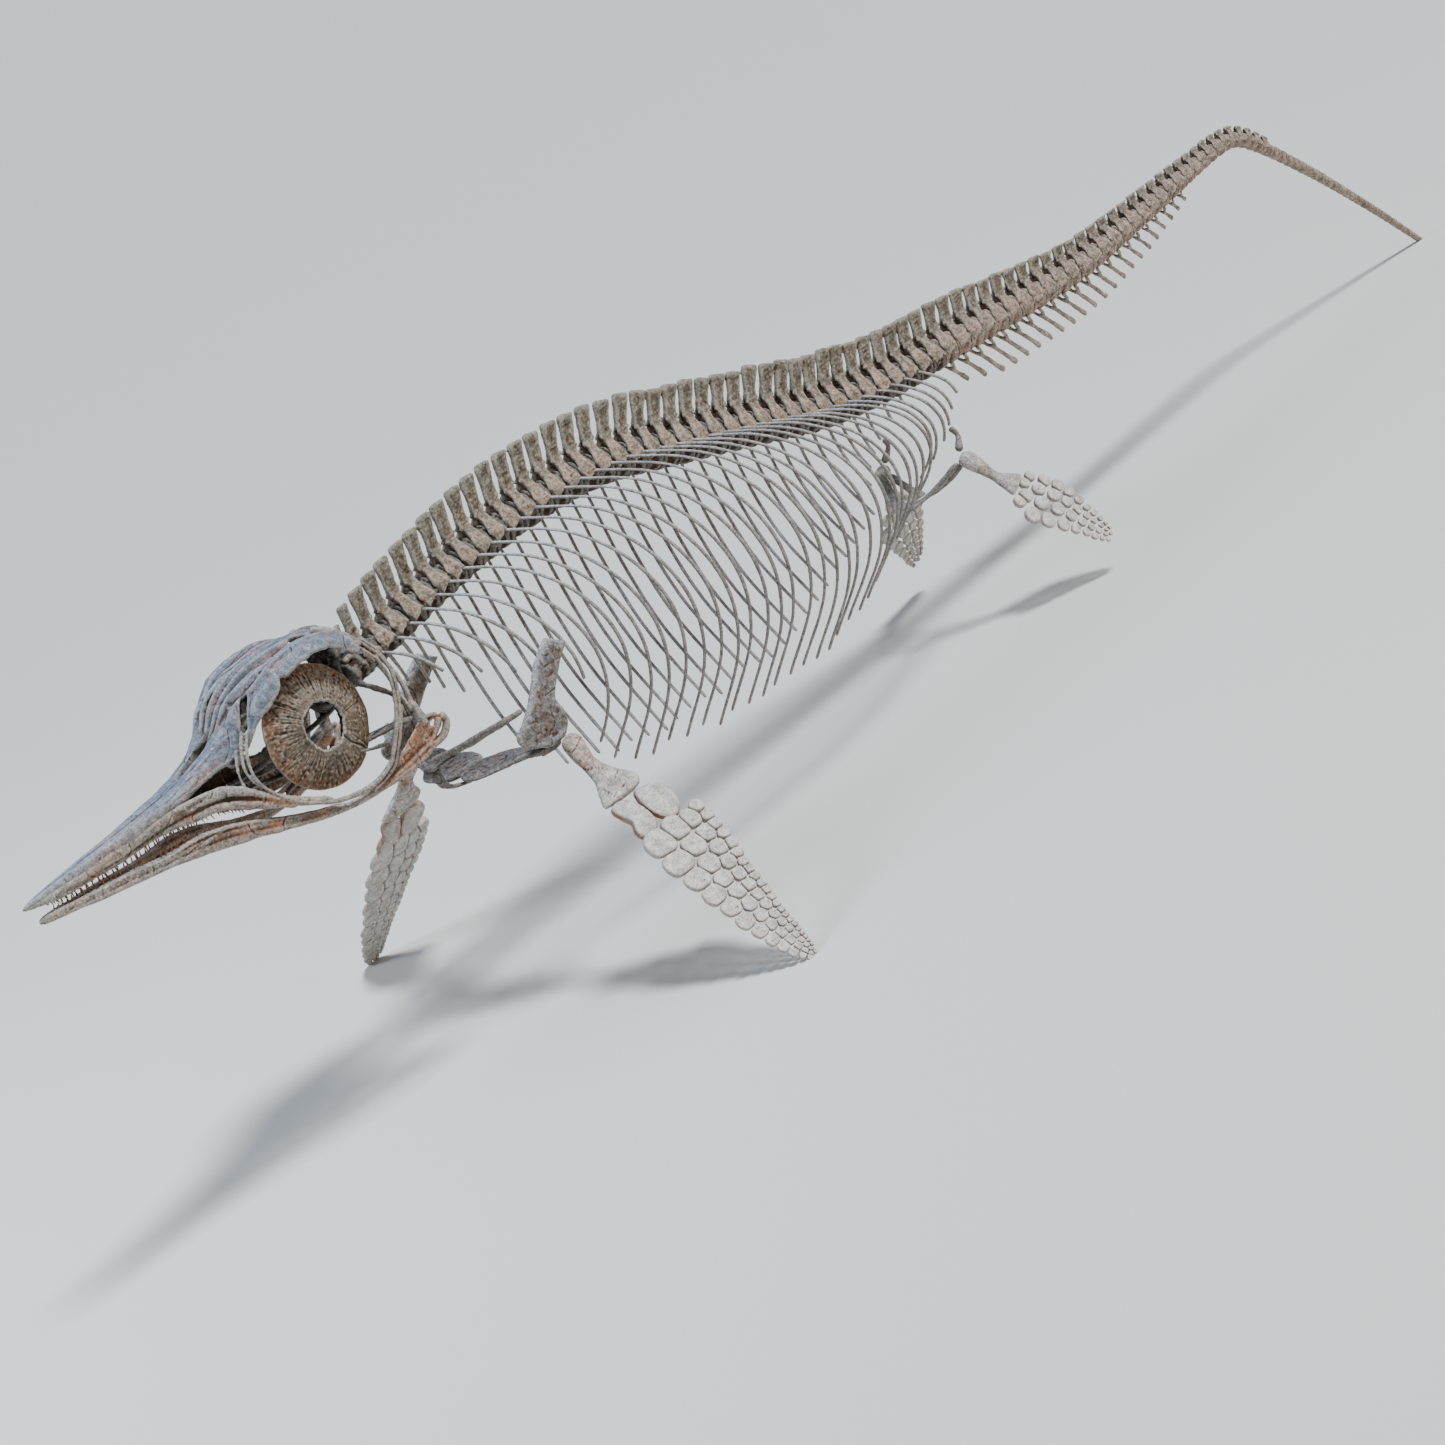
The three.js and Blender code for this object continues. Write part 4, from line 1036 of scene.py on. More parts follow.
def roof_shell():
    """The skull's roof: a curve through edge, shoulder and ridge of each station, smooth from station
    to station, less long furrows (bell curves across, one on the middle line), with a ragged edge."""
    x = np.linspace(-1810, -1384, 170)
    ridge, shoulder_y, shoulder_z, edge_y, edge_z = smooth_read(ROOF, x).T
    line = np.stack([x, 0 * x, 0 * x], axis=1)
    ragged = (bumps(line, 9, 41) + 0.7 * bumps(line, 22, 42)) * (x > -1660)
    notch = np.exp(-(((x + 1552) / 6) ** 2))
    edge_y = edge_y + 1.8 * ragged - 8 * notch
    edge_z = edge_z + 2.2 * ragged + 9 * notch
    rows = []
    for y, z in ((1.0, edge_z), (0.55, 0.5 * (edge_z + shoulder_z) + 5), (0.0, shoulder_z)):
        rows.append((y * edge_y + (1 - y) * shoulder_y if y != 0.55 else 0.55 * (edge_y + shoulder_y), z))
    rows.append((0.4 * shoulder_y, 0.5 * (shoulder_z + ridge) - 2))
    rows.append((0 * x, ridge))
    left = [np.stack([x, -y, z], axis=1) for y, z in rows]
    right = [np.stack([x, y, z], axis=1) for y, z in rows[-2::-1]]
    knots = np.stack(left + right)
    share = np.linspace(0, 1, 111)
    outer = smooth_curve(knots.reshape(len(knots), -1), share)
    outer = outer.reshape(len(share), len(x), 3).transpose(1, 0, 2)
    y = np.abs(outer[..., 1])
    shoulder = shoulder_y[:, None]
    wander = 3 * bumps(line, 60, 43)[:, None]
    for middle, width, depths in (
        (0 * shoulder, 8, (3, 9, 11, 9, 4, 2)), (0.46 * shoulder + 1.6 * wander, 6, (2, 6, 9, 10, 8, 3)),
        (0.92 * shoulder - 2 * wander, 8, (1, 6, 9, 9, 8, 3)),
    ):
        depth = np.interp(x, [-1800, -1740, -1660, -1580, -1480, -1400], depths)[:, None]
        away = (y - middle) / width
        banks = 0.45 * depth * np.exp(-((np.abs(away) - 1.9) ** 2) / 0.7)
        outer[..., 2] -= depth * np.exp(-(away**2)) - banks
    pit = np.exp(-(((x + 1636) / 34) ** 2))[:, None] * np.exp(-(((y - 80) / 10) ** 2))
    outer[..., 2] -= 19 * pit
    reach = (0.55 * np.exp(-(((x + 1420) / 46) ** 2)) + 0.45 * np.exp(-(((x + 1508) / 34) ** 2)))[:, None]
    outer[..., 2] -= 24 * reach * np.exp(-(((y - 46) / 12) ** 2))
    outer[..., 2] += 6 * reach * np.exp(-(((y - 80) / 9) ** 2)) + 6 * reach * np.exp(-((y / 13) ** 2))
    inner = outer.copy()
    inner[..., 2] -= ROOF_THICKNESS
    inner[..., 1] *= 1 - 3.0 / np.maximum(y, 30)
    return closed_tubes(sheet_rings(outer, inner))


def pebble(centre, radii, turn=0.0, sides=24, steps=16):
    """An ellipsoid: rings of sine radius up a cosine, turned about Z."""
    theta = np.linspace(0.12, np.pi - 0.12, steps)
    phi = 2 * np.pi * np.arange(sides) / sides
    x = radii[0] * np.sin(theta)[:, None] * np.cos(phi)
    y = radii[1] * np.sin(theta)[:, None] * np.sin(phi)
    z = radii[2] * np.cos(theta)[:, None] * np.ones_like(phi)
    c, s = math.cos(turn), math.sin(turn)
    rings = np.stack([centre[0] + c * x - s * y, centre[1] + s * x + c * y, centre[2] + z], axis=-1)
    return closed_tubes(rings)


def roof_cutters():
    """What is open in the roof: the temple windows, short slits along the folds and small pits."""
    cutters = []
    for side in (LEFT, RIGHT):
        cutters.append(pebble((-1418, side * 38, 862), (30, 13, 24), side * 0.35))
        cutters.append(pebble((-1506, side * 38, 866), (18, 8, 22), side * 0.3))
        cutters.append(pebble((-1548, side * 66, 862), (7, 4, 20), side * 0.6))
        slot = ((-1604, 72, 854), (-1626, 79, 830), (-1650, 86, 796))
        cutters.append(bar(slot, (5, 7, 7), (18, 18, 18), side, sides=16, steps=20, up=(-0.3, 1, 0.4)))
    cutters.append(pebble((-1490, -8, 876), (22, 5, 30), -0.25))
    return cutters


# The cheek sheet's lower and upper edges.
CHEEK_LOW = (
    (-1794, 37, 757), (-1762, 43, 760), (-1732, 47, 761), (-1708, 54, 758), (-1690, 66, 748),
    (-1676, 76, 742),
)
CHEEK_HIGH = (
    (-1800, 26, 768), (-1760, 30, 778), (-1722, 34, 787), (-1692, 44, 797), (-1668, 58, 804),
    (-1652, 70, 800),
)


def cheek_panel(side):
    """The sheet in front of the eye, over the nostril: upright folds that fade upwards, and a ragged
    lower edge."""
    even = np.linspace(0, 1, 70)
    low, high = smooth_curve(CHEEK_LOW, even), smooth_curve(CHEEK_HIGH, even)
    low[:, 2] += 3.2 * bumps(low, 8, 44) + 2.0 * bumps(low, 3.5, 45)
    up = np.linspace(0, 1, 30)[None, :, None]
    sheet = low[:, None] * (1 - up) + high[:, None] * up
    fold = 3.4 * np.cos(even * 2 * np.pi * 4.5) * np.interp(even, [0, 0.35, 1], [0, 0.4, 1])
    out = unit(np.array([0.25, 1.0, 0.25]))
    sheet = sheet + (fold[:, None] * np.linspace(1, 0.25, 30)[None])[..., None] * out
    rings = sheet_rings(sheet + 2.4 * out, sheet - 2.4 * out)
    return closed_tubes(mirrored(rings, side))


def roof_shells():
    """The nasal bones, the pierced roof and both cheek sheets."""
    cheeks = [cheek_panel(side) for side in (LEFT, RIGHT)]
    return nasal_shells() + [cut_away(roof_shell(), roof_cutters())] + cheeks


def upper_jaw_shells():
    """The tooth-bearing bones: a broad band, a groove and a narrow lip below it, and the hump behind the
    nostril."""
    x, top, under, half = snout_stations()
    height = top - under
    band = np.stack([x, 0.53 * half, under + 0.42 * height], axis=1)
    band = np.vstack([band, [(-1742, 62, 722), (-1716, 74, 706)]])
    band[5] = (-1796, 43, 731)
    across = np.append(0.47 * half, [11, 6])
    across[5] = 15
    upward = np.append(np.minimum(0.27 * height, 14), [8, 5])
    shells = pair(band, across, upward, sides=26, steps=150, boxy=0.8, reach=0.012)
    lip = np.stack([x, 0.6 * half, under + 0.13 * height], axis=1)
    lip = np.vstack([lip, [(-1750, 64, 704), (-1716, 80, 686), (-1680, 96, 663), (-1640, 110, 637)]])
    lip[5] = (-1800, 46, 714)
    across = np.append(0.30 * half, [10, 9, 7, 5])
    across[5] = 12
    upward = np.append(np.maximum(0.13 * height, 2.4), [8, 9, 8, 5])
    shells += pair(lip, across, upward, sides=20, steps=170, boxy=0.85, reach=0.012)
    palate = np.stack([x, 0 * x, under + 0.5 * height], axis=1)
    shells.append(bar(palate, 0.5 * half, 0.33 * height, sides=16, steps=60, reach=0.02))
    shells += pair(
        ((-1836, 43, 744), (-1780, 54, 737), (-1745, 64, 728), (-1716, 76, 712), (-1690, 88, 690),
         (-1660, 101, 662),
         (-1619, 115, 632), (-1575, 128, 610)),
        (7, 8, 9, 10, 9, 8, 7, 6), (6, 8, 10, 11, 10, 9, 8, 6), steps=110)
    return shells


# Bars on both sides of the skull: course, half widths, half heights, steps and the way up. These are the
# struts in front of the orbit, then the roof's hind corner and what joins it to the jaw's hinge.
ORBIT_BARS = (
    (((-1672, 68, 776), (-1696, 76, 742), (-1702, 82, 712), (-1698, 86, 694)),
     (5, 3, 3, 5), (4.5, 3, 3, 5), 40, SIDEWAYS),
    (((-1650, 76, 800), (-1674, 80, 768), (-1688, 86, 732), (-1680, 94, 700)),
     (4, 3, 2.6, 3), (5, 3.6, 3, 3), 40, SIDEWAYS),
    (((-1392, 28, 864), (-1364, 52, 844), (-1344, 72, 812), (-1326, 90, 784)),
     (9, 8, 7), (9, 7, 8), 50, SIDEWAYS),
    (((-1396, 138, 822), (-1380, 116, 826), (-1362, 88, 828), (-1348, 70, 814)),
     (7, 5, 6), (8, 5, 6), 40, UP),
    (((-1402, 120, 838), (-1376, 134, 812), (-1360, 140, 784)),
     (9, 7, 4), (2.6, 2.6, 2.4), 40, (0, 1, 0.4)),
    (((-1392, 112, 840), (-1364, 122, 808), (-1350, 130, 774)),
     (7, 6, 3), (2.4, 2.4, 2.2), 40, (0, 1, 0.4)),
    (((-1338, 76, 806), (-1324, 100, 756), (-1326, 122, 704), (-1343, 140, 652)),
     (4, 4, 6), (4.5, 5, 8), 60, SIDEWAYS),
    (((-1330, 92, 784), (-1346, 118, 742), (-1350, 134, 700), (-1352, 146, 660)),
     (3, 3, 4), (4, 4, 6), 60, SIDEWAYS),
    (((-1328, 90, 784), (-1346, 120, 788), (-1368, 146, 782)), (6, 5, 6), (6, 5, 6), 30, UP),
)
JAW_JOINT = ((-1340, 136, 676), (-1343, 146, 650), (-1345, 151, 622))
# Bars behind a nostril: x, then y and z of the foot and of the head.
NOSTRIL_BARS = ((-1768, 51, 728, 42, 760), (-1748, 58, 722, 46, 764), (-1722, 66, 712, 54, 768))
PALATE_BARS = (
    (((-1806, 18, 718), (-1660, 40, 690), (-1540, 56, 668), (-1440, 84, 652), (-1343, 144, 648)),
     (12, 17, 19, 12), (3.6, 3.6, 3.6, 7), 90, UP),
    (((-1600, 46, 682), (-1530, 78, 664), (-1450, 118, 640), (-1428, 150, 640)),
     (6, 6, 6), (3.4, 3, 3.4), 50, UP),
    (((-1470, 70, 660), (-1440, 60, 700), (-1420, 34, 738)), (5, 4, 6), (5, 4, 6), 30, SIDEWAYS),
)
BRAINCASE_BARS = (
    (((-1374, 30, 790), (-1366, 60, 800), (-1352, 84, 796)), (6, 5, 6), (9, 6, 7), 24, UP),
    (((-1372, 24, 752), (-1362, 66, 728), (-1350, 110, 700), (-1346, 136, 676)),
     (6, 5, 6, 7), (8, 6, 6, 8), 40, UP),
)


def skull_bars(rows):
    """Bars on both sides from the rows of a table."""
    shells = []
    for course, across, upward, steps, up in rows:
        shells += pair(course, across, upward, steps=steps, up=up)
    return shells


def rim_points(offset):
    """The orbit's rim moved outwards from the orbit's middle by `offset` mm."""
    rim = np.array(ORBIT_RIM, float)
    away = (rim - np.array(ORBIT_CENTRE)) * (1, 0, 1)
    return rim + offset * unit(away)


def orbit_shells():
    """The bones round the eye: the rim with its inner edge on the orbit, thin ridges outside it, the
    struts behind and the joint for the lower jaw."""
    across = (3.6, 2.9, 2.7, 3, 4, 5, 5, 4.5, 4, 3.4, 3.2, 3.4)
    upward = (4.2, 3.4, 3.1, 3.4, 4.6, 5.6, 6, 5.5, 4.5, 3.5, 2.8, 3)
    shells = pair(rim_points(4), across, upward, sides=18, steps=170, up=SIDEWAYS, reach=0.02)
    outside = rim_points(16)[6:] + (0, -5, 0)
    shells += pair(outside, (4, 5, 4, 4, 4, 3), (3.4, 3.4, 3.4, 3.4, 3.2, 3), sides=12, steps=90,
                   up=SIDEWAYS)
    outside = rim_points(24)[8:] + (0, -12, 0)
    shells += pair(outside, (3.4, 3.4, 3), (2.8, 2.8, 2.4), sides=12, steps=60, up=SIDEWAYS)
    inside = rim_points(3)[2:6] + (0, -7, 0)
    shells += pair(inside, (2.2, 2.4, 2.8), (2.2, 2.4, 2.8), sides=12, steps=60, up=SIDEWAYS)
    shells += skull_bars(ORBIT_BARS)
    shells += pair(JAW_JOINT, (9, 12, 14), (9, 11, 13), steps=24, up=BACKWARDS, reach=0.2)
    return shells


def inner_skull_shells():
    """The palate, the wall between the nostrils, the braincase with the knob for the neck, and thin bars
    seen through the nostrils."""
    shells = []
    for x, foot_y, foot_z, head_y, head_z in NOSTRIL_BARS:
        middle = (x + 3, 0.5 * (foot_y + head_y) - 3, 0.5 * (foot_z + head_z))
        course = ((x, foot_y, foot_z), middle, (x + 8, head_y, head_z))
        shells += pair(course, (2.4, 2.0, 2.6), (2.6, 2.2, 3.0), sides=10, steps=16, up=SIDEWAYS)
    shells += skull_bars(PALATE_BARS)
    keel = ((-1800, 0, 724), (-1620, 0, 704), (-1440, 0, 706), (-1380, 0, 724))
    shells.append(bar(keel, (9, 8, 12), (6, 5, 9), steps=80))
    behind_slot = ((-1584, 52, 850), (-1614, 61, 822), (-1640, 69, 788))
    shells += pair(behind_slot, (3, 3, 3), (14, 16, 14), steps=30, up=(0.8, 0.5, 0.2))
    wall_top = ((-1824, 0, 754), (-1760, 0, 782), (-1700, 0, 806), (-1652, 0, 822))
    wall_foot = ((-1824, 0, 722), (-1760, 0, 716), (-1700, 0, 708), (-1652, 0, 704))
    shells.append(closed_tubes(between_edges(wall_top, wall_foot, (3, 3, 3), SIDEWAYS)))
    braincase = ((-1445, 0, 730), (-1404, 0, 742), (-1364, 0, 744))
    shells.append(bar(braincase, (28, 35, 23), (22, 29, 21), sides=28, steps=30, reach=0.25))
    back_wall = ((-1372, 0, 866), (-1377, 0, 800), (-1376, 0, 748))
    shells.append(bar(back_wall, (44, 50, 33), (7, 7, 8), sides=28, steps=40, up=BACKWARDS))
    shells += skull_bars(BRAINCASE_BARS)
    shells.append(pebble((-1368, 0, 744), (15, 19, 19)))
    return shells


def skull_relief(points, normal):
    """Folds that run along the skull, winding cracks and pits, in mm."""
    return (0.9 * folds(points, (90, 15, 15), 51) + 0.8 * bumps(points, (40, 14, 14), 52)
            + 0.4 * bumps(points, 5.5, 53) - 1.1 * cracks(points, (90, 34, 34), 0.02, 54)
            - 0.5 * cracks(points, 22, 0.02, 55))


def roof_relief(points, normal):
    """Calm sheets with a few broad dents and hair cracks, in mm."""
    return (1.0 * bumps(points, (60, 22, 22), 57) + 0.5 * bumps(points, (26, 10, 10), 58)
            + 0.35 * bumps(points, 5.5, 59) - 0.9 * cracks(points, (120, 46, 46), 0.016, 60))


def skull_warmth(points):
    """Warm colour low on the skull and in long patches along the roof: partly rust, partly painted warm light
    where light grazes.
    """
    return (np.interp(points[:, 2], [600, 700, 790], [0.55, 0.35, 0.0]) + bumps(points, (70, 13, 24), 56)
            - 0.12)


class OBJECT_OT_cranium(bpy.types.Operator):
    """Builds the skull without its lower jaw: roof, upper jaws, the bones round the eyes and the inside"""

    bl_idname = "skeleton.cranium"
    bl_label = "Cranium"

    def execute(self, context):
        roof = bone_material(
            "skull roof bone", colours().skull, darker(colours().skull, 0.55, 0.1), patch_size=0.06,
            rust_and_warm_light=(0.36, 0.22, 0.17), painted_top_light=(0.21, 0.265, 0.36), painted_top_light_strength=0.75,
            patch_share=0.45, grain=0.0035)
        jaw = bone_material(
            "upper jaw bone", colours().jaw, darker(colours().jaw, 0.5, 0.12), patch_size=0.05,
            painted_top_light=(0.33, 0.335, 0.34), painted_top_light_strength=0.6, patch_share=0.55)
        orbit = bone_material(
            "orbit bone", darker(colours().jaw, 0.85), darker(colours().jaw, 0.4, 0.2), patch_size=0.04,
            painted_top_light=(0.36, 0.39, 0.43), painted_top_light_strength=0.6, patch_share=0.7)
        # The inside of the skull gets a near-black bone: painted shade for the deep hollows seen through the
        # openings.
        inside = bone_material(
            "inner skull painted shade", darker(colours().jaw, 0.2, 0.2), darker(colours().jaw, 0.1, 0.25),
            patch_size=0.05,
            rust_and_warm_light=(0.09, 0.045, 0.02), painted_top_light=(0.1, 0.11, 0.12), painted_top_light_strength=0.3)
        grain = sizes().skull_grain / METRES_PER_MM
        for name, shells, size, material, relief in (
            ("skull_roof", roof_shells(), grain, roof, roof_relief),
            ("upper_jaws", upper_jaw_shells(), grain, jaw, skull_relief),
            ("orbits", orbit_shells(), 0.85 * grain, orbit, lambda p, n: 0.6 * skull_relief(p, n)),
            ("inner_skull", inner_skull_shells(), 1.2 * grain, inside, skull_relief),
        ):
            shell = roughened(fused(shells, size), relief)
            shell[0][:, 0] = np.maximum(shell[0][:, 0], cad_low[0] / METRES_PER_MM)
            add_piece(name, [shell], material, ["cranium"], warm=skull_warmth)
        return {"FINISHED"}


# Stations of one side of the lower jaw: x, y of its middle, top, underside and half thickness.
JAW = (
    (-2141, 3, 711, 704, 4), (-2118, 5, 714, 701, 8), (-2041, 13, 706, 687, 15), (-1960, 23, 697, 674, 19),
    (-1885, 40, 686, 662, 15), (-1805, 56, 682, 643, 13), (-1732, 74, 660, 624, 11),
    (-1650, 93, 622, 598, 10), (-1552, 118, 588, 573, 9), (-1464, 137, 583, 568, 9),
    (-1391, 149, 596, 571, 11), (-1352, 153, 605, 580, 12),
)


def jaw_shells():
    """Each side as a thin lip, an upper and a lower bone with grooves between, a plate behind the orbit
    and a hollow upturned heel."""
    x, middle, top, under, thick = np.array(JAW, float).T
    height = top - under
    shells = []
    lip = np.stack([x, middle + 0.1 * thick, top - 0.11 * height], axis=1)[:9]
    shells += pair(lip, 0.72 * thick[:9], np.maximum(0.12 * height[:9], 2.4), sides=16, steps=130, reach=0.01)
    upper = np.stack([x, middle, top - 0.40 * height], axis=1)
    lower = np.stack([x, middle + 0.5, under + 0.24 * height], axis=1)
    heel = [(-1330, 157, 608), (-1314, 160, 626)]
    shells += pair(np.vstack([upper, heel]), np.append(thick * 0.86, [7, 6]),
                   np.append(0.24 * height, [5, 6]),
                   sides=22, steps=170, boxy=0.85, reach=0.01)
    heel = [(-1322, 159, 590), (-1304, 162, 610), (-1306, 161, 630)]
    shells += pair(np.vstack([lower, heel]), np.append(thick * 0.95, [9, 7, 7]),
                   np.append(0.28 * height, [7, 6, 7]),
                   sides=22, steps=170, boxy=0.85, reach=0.01)
    shells.append(bar(((-2140, 0, 707), (-2060, 0, 697), (-1985, 0, 686)), (6, 11, 4), (4, 7, 3), steps=30))
    top_edge = ((-1520, 127, 586), (-1470, 137, 590), (-1430, 143, 602), (-1395, 149, 619), (-1370, 152, 632),
                (-1350, 154, 640), (-1330, 157, 636), (-1314, 160, 632))
    low_edge = ((-1520, 128, 574), (-1470, 138, 575), (-1430, 144, 576), (-1391, 150, 580), (-1352, 154, 590),
                (-1332, 157, 598), (-1318, 160, 608), (-1308, 162, 620))
    for side in (LEFT, RIGHT):
        plate = between_edges(top_edge, low_edge, (2.6, 3.4, 3.4, 3), (0, 1, 0.1))
        plate = closed_tubes(mirrored(plate, side))
        shells.append(cut_away(plate, [pebble((-1326, side * 158, 621), (11, 20, 5.5)),
                                       pebble((-1356, side * 154, 604), (6, 20, 3.0))]))
    ridge = ((-1352, 155, 640), (-1332, 157, 638), (-1312, 160, 632))
    shells += pair(ridge, (5, 6, 5), (3, 3.4, 4), steps=30)
    return shells


class OBJECT_OT_lower_jaw(bpy.types.Operator):
    """Builds the lower jaw"""

    bl_idname = "skeleton.lower_jaw"
    bl_label = "Lower jaw"

    def execute(self, context):
        material = bone_material(
            "lower jaw bone", darker(colours().jaw, 0.9), darker(colours().jaw, 0.45, 0.18), patch_size=0.05,
            painted_top_light=(0.36, 0.38, 0.42), painted_top_light_strength=0.55, patch_share=0.6)
        shell = fused(jaw_shells(), 0.9 * sizes().skull_grain / METRES_PER_MM)
        shell = roughened(shell, lambda p, n: 0.85 * skull_relief(p, n))
        add_piece("lower_jaw_bone", [shell], material, ["lower_jaw"],
                  warm=lambda p: skull_warmth(p) + np.interp(p[:, 0], [-1700, -1450], [-0.15, 0.4]))
        return {"FINISHED"}


UPPER_TOOTH_LINE = (
    (-2118, 7, 737), (-2067, 12, 726), (-1970, 19, 718), (-1860, 32, 716), (-1803, 48, 712), (-1750, 64, 700),
    (-1722, 78, 682),
)
LOWER_TOOTH_LINE = (
    (-2112, 6, 710), (-2041, 14, 703), (-1960, 25, 694), (-1885, 41, 683), (-1805, 57, 679), (-1735, 74, 658),
)


def tooth_shells(line, direction, shift, rng):
    """Teeth as cones on a parabola that bends back a little: rings of falling radius, all in one array."""
    count = sizes().tooth_count
    share = (np.arange(count) + shift) / count
    share = np.clip(share + rng.uniform(-0.25, 0.25, count) / count, 0, 1)
    foot = smooth_curve(line, share)
    length = sizes().tooth_length / METRES_PER_MM * spread((0.62, 0.95, 1, 1, 0.8), share)
    length = (length * rng.uniform(0.75, 1.08, count))[:, None]
    tilt = rng.uniform(-0.14, 0.22, count)[:, None]
    t = np.array([-0.25, 0, 0.25, 0.5, 0.75, 0.92, 1.0])
    thick = (1.55 * np.array([1, 1, 0.95, 0.82, 0.6, 0.34, 0.12]))[:, None]
    angle = circle_angles(8)
    bend = np.stack([length * (tilt * t + 0.16 * t**2), -0.05 * length * t, direction * length * t], axis=-1)
    circle = np.stack([thick * np.cos(angle), thick * np.sin(angle), 0 * thick * angle], axis=-1)
    rings = (foot[:, None] + bend)[:, :, None] + circle
    return [closed_tubes(mirrored(rings, side)) for side in (LEFT, RIGHT)]


class OBJECT_OT_teeth(bpy.types.Operator):
    """Builds the upper and lower teeth"""

    bl_idname = "skeleton.teeth"
    bl_label = "Teeth"

    def execute(self, context):
        rng = np.random.default_rng(3)
        material = bone_material(
            "tooth", colours().tooth, darker(colours().tooth, 0.6), patch_size=0.02, painted_top_light=(0.4, 0.33, 0.26),
            painted_top_light_strength=0.2, bump=0.0003)
        material.node_tree.nodes["Principled BSDF"].inputs["Coat Weight"].default_value = 0.3
        upper = tooth_shells(UPPER_TOOTH_LINE, -1, 0.25, rng)
        add_piece("upper_teeth", upper, material, hollow=False)
        lower = tooth_shells(LOWER_TOOTH_LINE, 1, 0.75, rng)
        add_piece("lower_teeth", lower, material, hollow=False)
        return {"FINISHED"}


# The ring of plates in an eye: its middle, half widths, dome, and its turn forwards and up.
EYE = {
    "x": -1518, "y": 96, "z": 729, "outer": 118, "inner": 43, "dome": 27, "thick": 5, "forward": -0.02,
    "up": 0.06,
}
PLATES = 15


def eye_ring_shell(side):
    """A dome with a round opening: height falls outwards as a power of the distance from the opening,
    with radial wrinkles, plates that step over each other, a crack and a ragged inner edge."""
    turns, steps = 420, 56
    angle = 2 * np.pi * np.arange(turns) / turns
    share = np.linspace(0, 1, steps)
    circle = np.stack([np.cos(angle) * 60, np.sin(angle) * 60, 0 * angle], axis=1)
    inner = EYE["inner"] + 2.2 * bumps(circle, 9, 61 + side) + 1.3 * bumps(circle, 3.5, 63)
    outer = EYE["outer"] - 1.5 + 1.4 * bumps(circle, 11, 64)
    reach = inner[:, None] + (outer - inner)[:, None] * share
    height = EYE["dome"] * (1 - share[None] ** 1.7) * np.ones_like(reach)
    height -= 3.0 * np.exp(-share[None] / 0.06)
    wobble = 0.045 * np.sin(5 * angle)[:, None] * share + 0.02 * np.sin(17 * angle)[:, None]
    turned = angle[:, None] + wobble
    wrapped = np.stack([np.cos(turned) * 46, np.sin(turned) * 46, reach * 0.10], axis=-1).reshape(-1, 3)
    wrinkle = folds(wrapped, (2.6, 2.6, 4.0), 65).reshape(reach.shape)
    coarse = bumps(wrapped, (6.5, 6.5, 5.0), 66).reshape(reach.shape)
    flat = np.stack([np.cos(angle)[:, None] * reach, np.sin(angle)[:, None] * reach, 0 * reach], axis=-1)
    pits = bumps(flat.reshape(-1, 3), 5, 67).reshape(reach.shape)
    fade = np.interp(share, [0, 0.12, 0.4, 0.75, 1], [0.2, 0.7, 0.9, 1.3, 0.5])
    broken = np.clip(0.5 + 1.2 * bumps(wrapped, (14, 14, 2.4), 68).reshape(reach.shape), 0, 1)
    sawtooth = (turned * PLATES / (2 * np.pi)) % 1.0
    height += fade * (0.9 * broken * wrinkle + 1.2 * coarse + 1.1 * pits + 0.7 * (sawtooth - 0.5) ** 3 * 4)
    lip = 2.0 * bell(share, 0.05, 0.04)[None]
    height += lip * (0.6 + 0.5 * bumps(circle, 8, 69)[:, None])
    crack_angle = -0.95 if side == LEFT else 2.2
    away = (angle[:, None] - (crack_angle % (2 * np.pi))) + 0.05 * np.sin(6 * share)[None]
    height -= 3.2 * np.exp(-((away * reach / 2.2) ** 2)) * (share > 0.05)
    under = height - EYE["thick"] * np.interp(share, [0, 0.1, 0.9, 1], [0.4, 1, 1, 0.5])
    reach_all = np.concatenate([reach, reach[:, ::-1]], axis=1)
    height_all = np.concatenate([height, under[:, ::-1]], axis=1)
    turn_all = angle[:, None]
    x, y, z = reach_all * np.cos(turn_all), side * height_all, reach_all * np.sin(turn_all)
    c, s = math.cos(side * EYE["forward"]), math.sin(side * EYE["forward"])
    x, y = c * x - s * y, s * x + c * y
    c, s = math.cos(side * EYE["up"]), math.sin(side * EYE["up"])
    y, z = c * y - s * z, s * y + c * z
    rings = np.stack([EYE["x"] + x, side * EYE["y"] + y, EYE["z"] + z], axis=-1)
    return closed_loop(rings)


def ring_warmth(points):
    """A rusty band round the outside, broken by radial streaks."""
    reach = np.hypot(points[:, 0] - EYE["x"], points[:, 2] - EYE["z"])
    return np.interp(reach, [70, 92, 112], [0.0, 0.35, 1.0]) + 0.45 * bumps(points, 12, 70)


class OBJECT_OT_eye_rings(bpy.types.Operator):
    """Builds the ring of plates in each eye"""

    bl_idname = "skeleton.eye_rings"
    bl_label = "Eye rings"

    def execute(self, context):
        material = bone_material(
            "eye ring bone", colours().ring, darker(colours().ring, 0.36, 0.05), patch_size=0.07,
            patch_share=0.75,
            rust_and_warm_light=(0.24, 0.125, 0.065), painted_top_light=(0.5, 0.48, 0.44), painted_top_light_strength=0.3, grain=0.0032)
        for side, label in SIDES:
            add_piece(f"eye_ring_{label}", [eye_ring_shell(side)], material,
                      [f"sclerotic_ring_{label}"], warm=ring_warmth)
        return {"FINISHED"}


